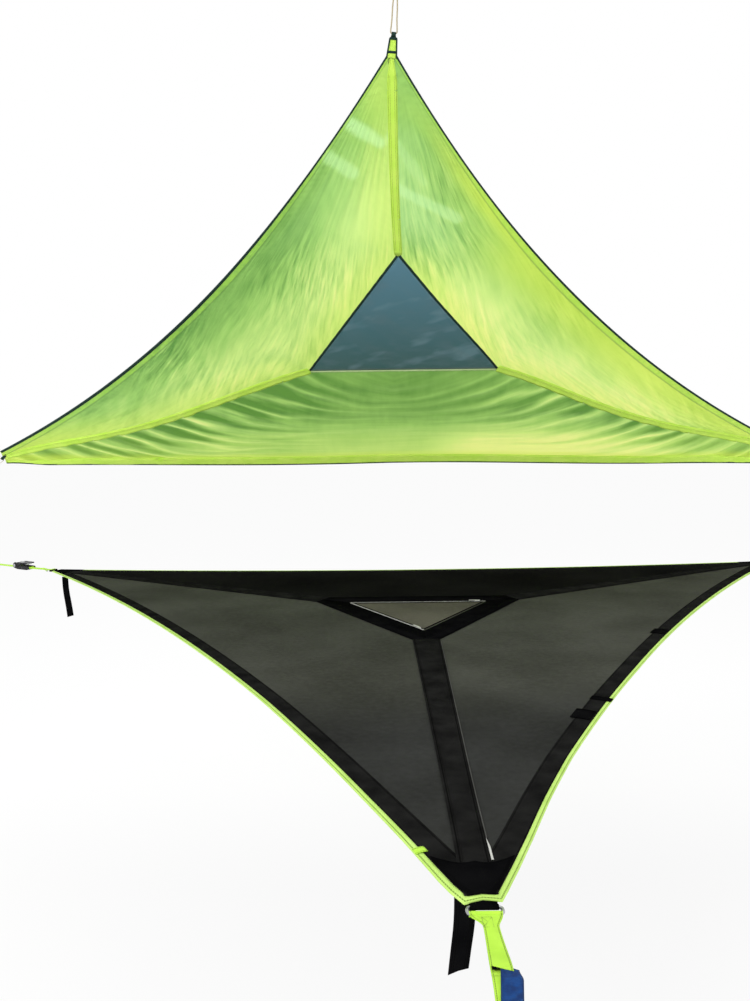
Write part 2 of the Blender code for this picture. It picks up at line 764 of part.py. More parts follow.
def make_tree_strap(corner, angle):
    """Lime webbing wound on the spool, running out to the eye at the tree."""
    sewn = 0.12
    axle_x = bolt_at(corner) + AXLE_FROM_BOLT
    top = -AXLE_HEIGHT
    low = top - WEBBING_THICKNESS
    middle = (top + low) / 2.0
    inner_x, outer_x = (x - axle_x for x in eye_centres(corner))
    hole = EYE_HEIGHT / 2.0
    radius = hole + WEBBING_THICKNESS
    meets = math.degrees(math.asin(WEBBING_THICKNESS / 2.0 / radius))
    doubled = math.degrees(math.asin(WEBBING_THICKNESS * 1.5 / radius))
    neck = inner_x - radius - sewn
    loop = [(0.0, low), (neck, low), (neck, low - WEBBING_THICKNESS)]
    loop += arc((inner_x, middle), radius, -180.0 + doubled, -90.0, 8)
    loop += arc((outer_x, middle), radius, -90.0, 90.0, 16)
    loop += arc((inner_x, middle), radius, 90.0, 180.0 - meets, 8)
    rises = math.degrees(math.asin(top / ROLL_RADIUS))
    loop += arc((0.0, 0.0), ROLL_RADIUS, rises, 262.0, 26)
    eye = arc((outer_x, middle), hole, -90.0, 90.0, 12)
    eye += arc((inner_x, middle), hole, 90.0, 270.0, 12)
    bore = circle((0.0, 0.0), AXLE_DIAMETER / 2.0 + GAP, 28)
    add_outline(
        f"tree_strap_{corner}", [loop, bore, eye], WEBBING_WIDTH, LIME_WEBBING,
        axle_matrix(corner, angle),
    )


# Straps that hang from the hammock, and the tag

def hang_places():
    """Where each hanging strap is sewn, and its length. The near one is under the loop."""
    near = Vector((
        -HANG_BESIDE_NEAR_CORNER, HANG_FROM_NEAR_CORNER - CENTRE_TO_CORNER,
        -LAYER - 2.0 * WEBBING_THICKNESS - GAP,
    ))
    slope = math.radians(60.0) - math.atan(4.0 * EDGE_BOW / SIDE)
    run = HANG_FROM_SIDE_CORNER
    x = SIDE / 2.0 - run * math.cos(slope)
    y = CENTRE_TO_EDGE - run * math.sin(slope)
    return {
        "near": (near, HANG_LENGTH_NEAR),
        "left": (Vector((-x, y, -LAYER)), HANG_LENGTH_SIDE),
        "right": (Vector((x, y, -LAYER)), HANG_LENGTH_SIDE),
    }


def make_hanging_straps():
    half = WEBBING_THICKNESS / 2.0
    across = Matrix(((0.0, 0.0, 1.0, 0.0), (1.0, 0.0, 0.0, 0.0), (0.0, 1.0, 0.0, 0.0),
                     (0.0, 0.0, 0.0, 1.0)))
    for corner, (place, length) in hang_places().items():
        loop = arc((0.0, 0.0), half, 0.0, 180.0, 6) + [(-half, -length), (half, -length)]
        drop = Vector((0.0, 0.0, -half))
        add_outline(
            f"hanging_strap_{corner}", [loop], HANG_WIDTH, BLACK_WEBBING,
            Matrix.Translation(place + drop) @ across,
        )


def make_tag():
    length, width, thickness = TAG_SIZE
    loop = [
        (TAG_AT, TAG_OVERHANG - width / 2.0), (TAG_AT + length, TAG_OVERHANG - width / 2.0),
        (TAG_AT + length, TAG_OVERHANG + width / 2.0), (TAG_AT, TAG_OVERHANG + width / 2.0),
    ]
    height = WEBBING_THICKNESS + GAP + thickness / 2.0
    place = corner_matrix(CORNERS["near"]) @ Matrix.Translation((0.0, 0.0, height))
    add_outline("tether_tag", [loop], thickness, BLUE_LABEL, place)


# Canopy. Its own axes are U across and V up the slope, and drop is straight down

CANOPY_BASE = Vector((CANOPY_OFFSET, *CANOPY_LOW))
CANOPY_RISE = Vector((0.0, CANOPY_HIGH[0] - CANOPY_LOW[0], CANOPY_HIGH[1] - CANOPY_LOW[1]))
CANOPY_SLOPE = CANOPY_RISE.length
CANOPY_V = CANOPY_RISE.normalized()
CANOPY_U = Vector((1.0, 0.0, 0.0))
CANOPY_UP = CANOPY_V.cross(CANOPY_U)
CUT_U = CANOPY_WIDTH / 2.0 - CANOPY_CORNER_CUT
WINDOW_TOP = (WINDOW_SHIFT, WINDOW_HIGH)
WINDOW_LEFT = (WINDOW_SHIFT - WINDOW_WIDTH / 2.0, WINDOW_LOW)
WINDOW_RIGHT = (WINDOW_SHIFT + WINDOW_WIDTH / 2.0, WINDOW_LOW)
EDGE_STEPS = 24             # columns of a side panel
APEX_STEPS = 6
WINDOW_STEPS = 5
SEAM_STEPS = 13
BASE_STEPS = 10


def canopy_place(u, v, drop=0.0):
    return CANOPY_BASE + CANOPY_U * u + CANOPY_V * v - Vector((0.0, 0.0, drop))


def side_edge(t):
    """(u, v) on the left edge, from the corner at t = 0 to the peak at t = 1."""
    half = CANOPY_WIDTH / 2.0
    length = math.hypot(half, CANOPY_SLOPE)
    bow = 4.0 * CANOPY_EDGE_BOW * t * (1.0 - t)
    return (
        -half + half * t + bow * CANOPY_SLOPE / length,
        CANOPY_SLOPE * t - bow * half / length,
    )


def hem_point(u):
    """(v, drop) of the lower edge."""
    t = u / CANOPY_WIDTH + 0.5
    across = (u + CUT_U) / (2.0 * CUT_U)
    return 4.0 * HEM_BOW * t * (1.0 - t), HEM_DROP * math.sin(math.pi * across) ** 2


CORNER_T = find_root(lambda t: side_edge(t)[0] + CUT_U, 0.0, 0.5)
PEAK_T = find_root(lambda t: side_edge(t)[0] + CANOPY_PEAK_WIDTH / 2.0, 0.5, 1.0)
PEAK_V = side_edge(PEAK_T)[1]
CUT_HIGH = side_edge(CORNER_T)[1]
CUT_LOW = hem_point(-CUT_U)[0]
CUT_MIDDLE = (CUT_HIGH + CUT_LOW) / 2.0


def seam_points(side):
    """The seam from the window's corner to the cut corner, as (u, v, drop)."""
    start = WINDOW_LEFT if side < 0 else WINDOW_RIGHT
    end = (side * CUT_U, CUT_MIDDLE)
    points = []
    for i in range(SEAM_STEPS + 1):
        t = i / SEAM_STEPS
        drop = SEAM_DROP * math.sin(math.pi * t) ** 2
        points.append((start[0] + (end[0] - start[0]) * t, start[1] + (end[1] - start[1]) * t, drop))
    return points


def straight_points(start, end, steps):
    return [
        (start[0] + (end[0] - start[0]) * i / steps, start[1] + (end[1] - start[1]) * i / steps, 0.0)
        for i in range(steps + 1)
    ]


def inner_line(side):
    """The inner boundary of a side panel: seam from the peak, window, seam to the corner."""
    corner = WINDOW_LEFT if side < 0 else WINDOW_RIGHT
    line = straight_points((0.0, PEAK_V), WINDOW_TOP, APEX_STEPS)
    line += straight_points(WINDOW_TOP, corner, WINDOW_STEPS)[1:]
    line += seam_points(side)[1:]
    return line


def outer_line(side, steps):
    points = []
    for i in range(steps + 1):
        u, v = side_edge(PEAK_T + (CORNER_T - PEAK_T) * i / steps)
        points.append((u * -side, v, 0.0))
    return points


def side_rulings(side):
    inner = inner_line(side)
    outer = outer_line(side, len(inner) - 1)
    return [(canopy_place(*a), canopy_place(*b)) for a, b in zip(inner, outer)]


def lower_line():
    line = list(reversed(seam_points(-1.0)))
    line += straight_points(WINDOW_LEFT, WINDOW_RIGHT, BASE_STEPS)[1:]
    line += seam_points(1.0)[1:]
    return line


def lower_rulings():
    rulings = []
    for u, v, drop in lower_line():
        hem_v, hem_drop = hem_point(u)
        rulings.append((canopy_place(u, v, drop), canopy_place(u, hem_v, hem_drop)))
    return rulings


def pulled_in(start, end, distance, along):
    """A point on the ruling from start to end, this far from the line it leaves."""
    ruling = end - start
    lean = math.sin(ruling.angle(along))
    return start + ruling.normalized() * (distance / lean)


def line_directions(points):
    directions = []
    for i in range(len(points)):
        before = points[max(i - 1, 0)]
        after = points[min(i + 1, len(points) - 1)]
        directions.append((after - before).normalized())
    return directions


def ruled_rows(rulings, count, margin, lift=None):
    """Rows of points across the rulings, from a seam's gap inside their first ends.

    A row runs along the edge of the seam's band, and one runs this margin from the end.
    """
    directions = line_directions([start for start, _ in rulings])
    columns = []
    for i, ((start, end), direction) in enumerate(zip(rulings, directions)):
        first = pulled_in(start, end, GAP, direction)
        reach = (end - first).length
        band = pulled_in(start, end, CANOPY_SEAM_WIDTH / 2.0, direction)
        band = first + (end - first).normalized() * min((band - first).length, 0.3 * reach)
        edge = end + (first - end).normalized() * min(margin, 0.3 * reach)
        column = [first]
        for k in range(count + 1):
            point = band.lerp(edge, k / count)
            if lift is not None:
                point = point + CANOPY_UP * lift(i / (len(rulings) - 1), k / count, reach)
            column.append(point)
        column.append(end)
        columns.append(column)
    return [list(row) for row in zip(*columns)]


def fold_lift(across, down, reach):
    """Slack folds that fan from both seams towards the middle of the hem."""
    height = FOLD_HEIGHT * min(reach / 0.5, 1.0)
    height *= math.sin(math.pi * down) ** 2 * math.sin(math.pi * across) ** 2
    from_middle = abs(2.0 * across - 1.0)
    return height * math.sin(math.pi * FOLD_COUNT * (from_middle + 0.35 * down))


def make_canopy_panels():
    for name, side in (("left", -1.0), ("right", 1.0)):
        rows = ruled_rows(side_rulings(side), 2, PIPING_WIDTH)
        add_grid(f"canopy_panel_{name}", rows, CANOPY_THICKNESS, LIME_NYLON)
    rows = ruled_rows(lower_rulings(), 9, HEM_WIDTH, fold_lift)
    add_grid("canopy_panel_lower", rows, CANOPY_THICKNESS, LIME_NYLON)
    corners = [WINDOW_LEFT, WINDOW_RIGHT, WINDOW_TOP]
    frame = Matrix.Identity(4)
    for i, axis in enumerate((CANOPY_U, CANOPY_V, CANOPY_U.cross(CANOPY_V))):
        for k in range(3):
            frame[k][i] = axis[k]
    frame.translation = CANOPY_BASE
    add_outline("canopy_window", [corners], CANOPY_THICKNESS, SLATE_NYLON, frame)


def under(point, thickness):
    """A point moved from the middle of the cloth to a layer under it."""
    return point - CANOPY_UP * (CANOPY_THICKNESS / 2.0 + GAP + thickness / 2.0)


def make_canopy_seams():
    half = CANOPY_SEAM_WIDTH / 2.0
    lower = lower_rulings()
    for name, side in (("left", -1.0), ("right", 1.0)):
        upper = side_rulings(side)[APEX_STEPS + WINDOW_STEPS:]
        below = lower[:SEAM_STEPS + 1][::-1] if side < 0 else lower[-SEAM_STEPS - 1:]
        directions = line_directions([start for start, _ in upper])
        rows = [[], [], []]
        for i in range(SEAM_STEPS):
            middle, outer = upper[i]
            rows[0].append(under(pulled_in(middle, outer, half, directions[i]), CANOPY_THICKNESS))
            rows[1].append(under(middle, CANOPY_THICKNESS))
            down = below[i][1]
            rows[2].append(under(pulled_in(middle, down, half, directions[i]), CANOPY_THICKNESS))
        add_grid(f"canopy_seam_{name}", rows, CANOPY_THICKNESS, LIME_WEBBING)
    rows = []
    for side in (-1.0, 0.0, 1.0):
        row = []
        for i in range(APEX_STEPS + 1):
            share = i / APEX_STEPS
            low_v = PEAK_V - PIPING_WIDTH - 2.0 * GAP
            spread = min(half, side_room(low_v) if i == 0 else half)
            u = WINDOW_TOP[0] * share + side * spread
            v = low_v + (WINDOW_TOP[1] - low_v) * share
            row.append(under(canopy_place(u, v), CANOPY_THICKNESS))
        rows.append(row)
    add_grid("canopy_seam_peak", rows, CANOPY_THICKNESS, LIME_WEBBING)


def side_room(v):
    """Half the width between the pipings at this height near the peak."""
    t = find_root(lambda t: side_edge(t)[1] - v, 0.5, 1.0)
    return -side_edge(t)[0] - 1.6 * PIPING_WIDTH


def make_piping():
    """Binding along both sides and across the peak, in one length."""
    outer = []
    inner = []
    for side in (-1.0, 1.0):
        rulings = side_rulings(side)
        directions = line_directions([end for _, end in rulings])
        edge = [end for _, end in rulings]
        inset = [
            pulled_in(end, start, PIPING_WIDTH, direction)
            for (start, end), direction in zip(rulings, directions)
        ]
        inset[0] = canopy_place(
            side * (CANOPY_PEAK_WIDTH / 2.0 - 0.8 * PIPING_WIDTH), PEAK_V - PIPING_WIDTH
        )
        if side < 0:
            edge.reverse()
            inset.reverse()
        outer += edge
        inner += inset
    rows = [
        [under(point, CANOPY_THICKNESS) for point in outer],
        [under(point, CANOPY_THICKNESS) for point in inner],
    ]
    add_grid("canopy_piping", rows, CANOPY_THICKNESS, DARK_BINDING)


def make_hem():
    rulings = lower_rulings()
    rows = [[], []]
    for start, end in rulings:
        width = min(HEM_WIDTH, 0.3 * ((end - start).length - GAP))
        rows[0].append(under(end, CANOPY_THICKNESS))
        rows[1].append(under(end + (start - end).normalized() * width, CANOPY_THICKNESS))
    add_grid("canopy_hem", rows, CANOPY_THICKNESS, LIME_WEBBING)


# Loops, cords and hooks of the canopy

def axes_matrix(x_axis, y_axis, origin):
    z_axis = x_axis.cross(y_axis)
    matrix = Matrix.Identity(4)
    for i, axis in enumerate((x_axis, y_axis, z_axis)):
        for k in range(3):
            matrix[k][i] = axis[k]
    matrix.translation = origin
    return matrix


def make_canopy_loop(name, place, outwards, width=CANOPY_LOOP_WIDTH, neck=0.0):
    """A webbing loop sewn on top of the cloth; returns its eye and its crosswise axis."""
    flat = (outwards - CANOPY_UP * outwards.dot(CANOPY_UP)).normalized()
    reach = CANOPY_LOOP_EYE + WEBBING_THICKNESS + CANOPY_LOOP_REACH + neck
    low = CANOPY_THICKNESS / 2.0 + GAP
    loops = strip_with_eyes(
        -CANOPY_LOOP_TAIL, reach, low, low + WEBBING_THICKNESS, None, CANOPY_LOOP_EYE
    )
    matrix = axes_matrix(flat, CANOPY_UP, place)
    add_outline(name, loops, width, DARK_BINDING, matrix)
    return place + flat * reach, flat.cross(CANOPY_UP)


def bight(eye, crosswise, line, width=CANOPY_LOOP_WIDTH):
    """A cord threaded through an eye, both strands drawn together into a knot."""
    pull = (line - crosswise * line.dot(crosswise)).normalized()
    start = eye + pull * (CANOPY_LOOP_EYE - CORD_DIAMETER / 2.0 - GAP)
    across = (crosswise - line * crosswise.dot(line)).normalized()
    side = width / 2.0
    half = [
        (KNOT_AT, 0.0026), (0.62 * KNOT_AT, 0.005), (0.30 * KNOT_AT, side + 0.0018),
        (0.008, side + 0.0042), (0.0008, side + 0.0022), (0.0, 0.5 * side),
    ]
    points = [start + line * s + across * w for s, w in half]
    points += [start + line * s - across * w for s, w in reversed(half)]
    return points, start, across


def make_peak_cord():
    line = (CANOPY_V + CANOPY_U * PEAK_CORD_LEAN).normalized()
    eye, crosswise = make_canopy_loop(
        "canopy_loop_peak", canopy_place(0.0, PEAK_V), line, PEAK_LOOP_WIDTH, PEAK_NECK
    )
    points, start, across = bight(eye, crosswise, line, PEAK_LOOP_WIDTH)
    second = PEAK_CORD_LENGTH - 2.0 * PEAK_LOOP_RADIUS
    r = PEAK_LOOP_RADIUS
    for s, w in (
        (0.12, -0.0014), (0.15, -0.0024), (second, -0.0030), (second + 0.5 * r, -0.55 * r),
        (second + 1.25 * r, -r), (second + 2.2 * r, -0.62 * r), (second + 2.5 * r, 0.0),
        (second + 2.2 * r, 0.62 * r), (second + 1.25 * r, r), (second + 0.5 * r, 0.55 * r),
        (second, 0.0030), (second - 0.02, 0.0034),
    ):
        points.append(start + line * s + across * w)
    path = smooth_path(points, 2.5 * CORD_DIAMETER, eye)
    add_tube("canopy_cord_peak", path, CORD_DIAMETER, TAN_CORD)


def make_guy(corner):
    """From a low corner of the canopy to a hook in the eye of the tree strap."""
    side = -1.0 if corner == "left" else 1.0
    place = canopy_place(side * CUT_U, CUT_MIDDLE)
    tether = corner_matrix(CORNERS[corner])
    eye_x, _ = eye_centres(corner)
    eye_middle = tether @ Vector((eye_x, 0.0, -WEBBING_THICKNESS / 2.0))
    outwards = (eye_middle - place).normalized()
    loop_eye, crosswise = make_canopy_loop(f"canopy_loop_{corner}", place, outwards)
    line = (eye_middle - loop_eye).normalized()
    points, start, across = bight(loop_eye, crosswise, line)

    strap_out = (tether.to_3x3() @ Vector((1.0, 0.0, 0.0))).normalized()
    strap_across = (tether.to_3x3() @ Vector((0.0, 1.0, 0.0))).normalized()
    back = line * -1.0
    in_side_view = (strap_out * back.dot(strap_out) + Vector((0.0, 0.0, back.z))).normalized()
    seat = EYE_HEIGHT / 2.0 - HOOK_WIRE / 2.0 - GAP
    bottom = eye_middle + in_side_view * seat
    up = (start - bottom).normalized()
    third = up.cross(strap_across).normalized()
    leg = WEBBING_WIDTH / 2.0 + HOOK_WIRE + 0.0015
    ring = HOOK_WIRE / 2.0 + CORD_DIAMETER / 2.0 + 0.0008
    height = 0.046
    shape = [
        (leg, 0.026, 0.0), (leg, 0.014, 0.0), (leg - 0.0006, 0.005, 0.0),
        (leg - 0.004, 0.0005, 0.0), (0.5 * leg, 0.0, 0.0), (0.0, 0.0, 0.0),
        (-0.5 * leg, 0.0, 0.0), (0.004 - leg, 0.0005, 0.0), (0.0006 - leg, 0.005, 0.0),
        (-leg, 0.014, 0.0), (0.002 - leg, 0.026, 0.0), (-0.60 * leg, 0.037, 0.0),
        (-ring - 0.003, height - 0.0035, 0.0),
    ]
    for i in range(9):
        angle = math.radians(195.0 + 290.0 * i / 8.0)
        shape.append((ring * math.cos(angle), height, ring * math.sin(angle)))
    places = [bottom + strap_across * w + up * h + third * k for w, h, k in shape]
    add_tube(
        f"canopy_hook_{corner}", smooth_path(places, 0.0032), HOOK_WIRE, STEEL
    )
    end = bottom + up * (height - 0.010)
    run = end - start
    path = smooth_path(points, 2.5 * CORD_DIAMETER, loop_eye)
    path += [start + run * share for share in (0.1, 0.3, 0.5, 0.7, 0.9, 1.0)]
    add_tube(f"canopy_cord_{corner}", path, CORD_DIAMETER, TAN_CORD)


def build():
    make_mesh_panels()
    make_edge_bands()
    make_edging()
    make_seam_bands()
    make_hatch_frame()
    make_hatch_door()
    make_zip()
    make_slider("zip_slider_left", -90.0, 150.0)
    make_slider("zip_slider_back", 30.0, 150.0)
    for corner, angle in CORNERS.items():
        make_corner_loop(corner, angle)
        make_ring(corner, angle)
        make_corner_strap(corner, angle)
        make_tree_strap(corner, angle)
    make_ratchets()
    make_hanging_straps()
    make_tag()
    make_canopy_panels()
    make_canopy_seams()
    make_piping()
    make_hem()
    make_peak_cord()
    make_guy("left")
    make_guy("right")


build()
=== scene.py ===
"""Looks of the hammock tent: cloth, webbing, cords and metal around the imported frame.

Metres, +Z up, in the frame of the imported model. The near corner points to -Y.
"""

import math

import bmesh
import bpy
from mathutils import Matrix, Vector, noise


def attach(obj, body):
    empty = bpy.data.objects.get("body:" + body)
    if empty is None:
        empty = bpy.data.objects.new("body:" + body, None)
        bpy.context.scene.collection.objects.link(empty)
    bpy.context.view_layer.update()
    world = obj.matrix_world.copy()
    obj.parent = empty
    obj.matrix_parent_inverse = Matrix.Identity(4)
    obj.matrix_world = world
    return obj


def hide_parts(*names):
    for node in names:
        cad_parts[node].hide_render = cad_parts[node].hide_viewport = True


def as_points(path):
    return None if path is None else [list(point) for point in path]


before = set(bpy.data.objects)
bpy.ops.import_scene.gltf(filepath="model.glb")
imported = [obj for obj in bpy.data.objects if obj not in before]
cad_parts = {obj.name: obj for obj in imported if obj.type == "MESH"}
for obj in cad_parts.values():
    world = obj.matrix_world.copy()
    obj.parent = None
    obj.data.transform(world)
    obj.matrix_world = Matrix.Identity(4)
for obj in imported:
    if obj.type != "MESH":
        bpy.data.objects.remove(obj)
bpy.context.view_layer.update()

ROOT = "cloths_and_tethers"

# Sizes of the frame, as in the CAD model
SIDE = 4.0
EDGE_BOW = 0.15
CORNER_CUT = 0.078
MESH_THICKNESS = 0.0012
BAND_THICKNESS = 0.0015
GAP = 0.0003
EDGING_WIDTH = 0.014
EDGE_BAND_WIDTH = 0.045
SEAM_WIDTH_AT_HATCH = 0.098
SEAM_WIDTH_AT_CORNER = 0.054
HATCH_SIDE = 0.58
HATCH_LIP = 0.012
HATCH_BAND_WIDTH = 0.108
WEBBING_WIDTH = 0.035
WEBBING_THICKNESS = 0.0015
RING_WIRE = 0.006
RING_BAR_SPACING = 0.020
RING_AT = -0.052
LOOP_TAIL = 0.120
LOOP_WIDTH = 0.048
BOLT_DIAMETER = 0.007
AXLE_DIAMETER = 0.014
ROLL_LAYERS = 3
AXLE_FROM_BOLT = 0.105
BOLT_AT = {"near": 0.300, "right": 0.130, "left": 0.130}
EYE_END = 1.27
EYE_LENGTH = 0.080
EYE_HEIGHT = 0.016
SEWN_AT_EYE = 0.12
SEWN_LENGTH = 0.150
HANG_WIDTH = 0.032
HANG_LENGTH = {"near": 0.140, "right": 0.215, "left": 0.215}
HANG_FROM_SIDE_CORNER = 0.290
HANG_FROM_NEAR_CORNER = 0.095
HANG_BESIDE_NEAR_CORNER = 0.034
TAG_SIZE = (0.090, 0.032)
TAG_AT = 0.111
TAG_OVERHANG = 0.018

CANOPY_WIDTH = 4.59
CANOPY_OFFSET = -0.11
CANOPY_LOW = (1.22, 0.579)
CANOPY_HIGH = (-0.50, 2.072)
CLOTH = 0.001
CANOPY_EDGE_BOW = 0.213
CANOPY_CORNER_CUT = 0.19
CANOPY_PEAK_WIDTH = 0.035
HEM_BOW = 0.060
HEM_DROP = 0.040
HEM_WIDTH = 0.045
SEAM_DROP = 0.048
CANOPY_SEAM_WIDTH = 0.036
CANOPY_BINDING = 0.013      # widths of the dark binding, 3 mm over the CAD's, and of the hem's
HEM_BINDING = 0.009
WINDOW_WIDTH = 0.88
WINDOW_SHIFT = 0.06
WINDOW_LOW = 0.705
WINDOW_HIGH = 1.39
CORD_DIAMETER = 0.003
CANOPY_LOOP_WIDTH = 0.015
CANOPY_LOOP_TAIL = 0.030
CANOPY_LOOP_EYE = 0.005
CANOPY_LOOP_REACH = 0.009
PEAK_LOOP_WIDTH = 0.022
PEAK_NECK = 0.058
KNOT_AT = 0.085
PEAK_CORD_LEAN = 0.04
PEAK_NECK_LEAN = 0.09
PEAK_CORD_LENGTH = 0.240
PEAK_CORD_DIAMETER = 0.005  # looks heavier than the CAD's cord
PEAK_KNOT_AT = 0.150
PEAK_SHIFT = 0.0075         # of the peak to the right of the CAD's
WINDOW_TOP_SHIFT = 0.022    # of the window's top to the left of the CAD's
WINDOW_FOOT_SHIFT = 0.022   # of its right foot to the right
PEAK_LOOP_RADIUS = 0.030
HOOK_WIRE = 0.004
HOOK_HEIGHT = 0.046
CORD_SPACING = 0.0011       # of the points along a cord
KNOT_TURNS = 3

CORNERS = {"near": -90.0, "right": 30.0, "left": 150.0}
SECTORS = {"back": 0.0, "left": 120.0, "right": -120.0}
EDGING_SHARE = {"back": 1.0, "right": 0.78, "left": 0.88}    # of its width that shows

CENTRE_TO_CORNER = SIDE / math.sqrt(3.0)
CENTRE_TO_EDGE = SIDE / (2.0 * math.sqrt(3.0))
CUT_AT = CENTRE_TO_CORNER - CORNER_CUT      # how far out the tips are cut off
EDGING_AT = CUT_AT - EDGING_WIDTH           # and where the edging across them begins
HATCH_IN = HATCH_SIDE / (2.0 * math.sqrt(3.0))
HATCH_OUT = HATCH_IN + HATCH_LIP + HATCH_BAND_WIDTH
SEAM_START = 2.0 * HATCH_OUT - SEAM_WIDTH_AT_HATCH / 2.0 * math.sqrt(3.0)
LAYER = MESH_THICKNESS / 2.0 + GAP
ROLL_RADIUS = AXLE_DIAMETER / 2.0 + GAP + ROLL_LAYERS * WEBBING_THICKNESS
AXLE_HEIGHT = ROLL_RADIUS - WEBBING_THICKNESS

TAPE = 0.0008               # thickness of the canopy's tapes and of its cloth
THIN = 0.0009               # of bindings, ribs and the tag
STRAP_SHARE = 0.94          # of the webbing's thickness, so that layers stay apart
TUCK = 0.002                # of the black bands under the edging
MERGE = 0.0002              # points of a sheet closer together than this become one
STITCH_PITCH = 0.0052       # of the stitches that are in a material only
SEAM_STITCH = (0.0060, (0.0044, 0.0013, 0.0008))    # pitch, then length, width and height
BOX_STITCH = (0.0036, (0.0028, 0.0010, 0.0006))
UNDER_HEM = -(CLOTH + 0.0005)                       # heights of what lies under the canopy
UNDER_TAPE = -(CLOTH + 0.0006)
UNDER_STITCHES = -(CLOTH + 0.0011)
UNDER_PIPING = -(CLOTH + 0.0012)
ROPE_STRANDS = 3
ROPE_LAY = 0.012            # of cord in which a strand goes once round
PATCH_FROM_CORNER = 0.197   # where the corner's patch begins
SEAM_FROM_CORNER = 0.165    # where the seam band has its width at the corner
UP = Vector((0.0, 0.0, 1.0))

# Camera, light and floor
PICTURE_HEIGHT = 1001
FOCAL_PIXELS = 884.5
CAMERA_PLACE = (-0.167, -3.656, 0.811)
CAMERA_YAW = -0.0043
CAMERA_PITCH = -0.0935
CAMERA_ROLL = -0.0125
FLOOR_HEIGHT = -1.30
FLOOR_HALF = 60.0
FLOOR_TONE = 0.86           # of its own colour, which keeps the shadow
FLOOR_SHOWN = 0.86          # share of plain white in it where it is looked at
WORLD_LIGHT = 0.85
LAMPS = (                   # name, place, target, size, power
    ("key", (-4.5, -5.5, 4.5), (0.0, 0.0, 0.6), 3.0, 260.0),
    ("fill", (1.5, -7.0, 0.2), (0.0, 0.3, 1.2), 4.0, 150.0),
    ("top", (0.5, 2.5, 5.5), (0.0, 0.3, 0.8), 3.5, 150.0),
)


def new_object(name, data):
    item = bpy.data.objects.new(name, data)
    bpy.context.scene.collection.objects.link(item)
    return item


def make_camera():
    """The camera that a fit to the three edges of the hammock gives."""
    data = bpy.data.cameras.new("camera")
    data.sensor_width = 36.0
    data.lens = data.sensor_width * FOCAL_PIXELS / PICTURE_HEIGHT
    data.clip_end = 200.0
    camera = new_object("camera", data)
    ahead = Vector((
        math.sin(CAMERA_YAW) * math.cos(CAMERA_PITCH),
        math.cos(CAMERA_YAW) * math.cos(CAMERA_PITCH),
        math.sin(CAMERA_PITCH),
    ))
    right = Vector((math.cos(CAMERA_YAW), -math.sin(CAMERA_YAW), 0.0))
    up = right.cross(ahead)
    turn = Matrix((right, up, -ahead)).transposed().to_4x4()
    camera.matrix_world = (
        Matrix.Translation(CAMERA_PLACE) @ turn @ Matrix.Rotation(CAMERA_ROLL, 4, "Z")
    )
    bpy.context.scene.camera = camera


def add_lamp(name, place, target, size, power):
    """A soft square lamp that shines at the target."""
    data = bpy.data.lights.new(name, "AREA")
    data.size = size
    data.energy = power
    lamp = new_object(name, data)
    lamp.location = place
    lamp.rotation_euler = (Vector(target) - Vector(place)).to_track_quat("-Z", "Y").to_euler()


def seen_directly(tree):
    """1 where the background itself is looked at, straight or through a reflection."""
    path = tree.nodes.new("ShaderNodeLightPath")
    seen = path.outputs["Is Camera Ray"]
    for other in ("Is Glossy Ray", "Is Transmission Ray"):
        either = tree.nodes.new("ShaderNodeMath")
        either.operation = "MAXIMUM"
        tree.links.new(seen, either.inputs[0])
        tree.links.new(path.outputs[other], either.inputs[1])
        seen = either.outputs[0]
    return seen


def make_studio():
    """Even light from the world, three soft lamps and the floor."""
    world = bpy.data.worlds.new("studio")
    bpy.context.scene.world = world
    world.use_nodes = True
    tree = world.node_tree
    back = tree.nodes["Background"]
    level = tree.nodes.new("ShaderNodeMapRange")
    level.inputs["To Min"].default_value = WORLD_LIGHT
    level.inputs["To Max"].default_value = 1.0
    tree.links.new(seen_directly(tree), level.inputs["Value"])
    tree.links.new(level.outputs["Result"], back.inputs["Strength"])
    back.inputs["Color"].default_value = (1.0, 1.0, 1.0, 1.0)

    for lamp in LAMPS:
        add_lamp(*lamp)
    make_floor()
    bpy.context.scene.view_settings.view_transform = "Standard"


def make_floor():
    """A wide pale floor, white where it is looked at but for the object's shadow."""
    finish = Finish("floor")
    finish.set(Base_Color=(FLOOR_TONE, FLOOR_TONE, FLOOR_TONE, 1.0), Roughness=0.9,
               Specular_IOR_Level=0.0)
    white = finish.node("ShaderNodeEmission")
    shown = finish.math("MULTIPLY", seen_directly(finish.tree), FLOOR_SHOWN)
    finish.mix_in(shown, white.outputs[0])
    corners = [(x * FLOOR_HALF, y * FLOOR_HALF, 0.0)
               for x, y in ((-1, -1), (1, -1), (1, 1), (-1, 1))]
    floor = add_mesh("floor", corners, [(0, 1, 2, 3)], finish.material)
    floor.location.z = FLOOR_HEIGHT


# Materials

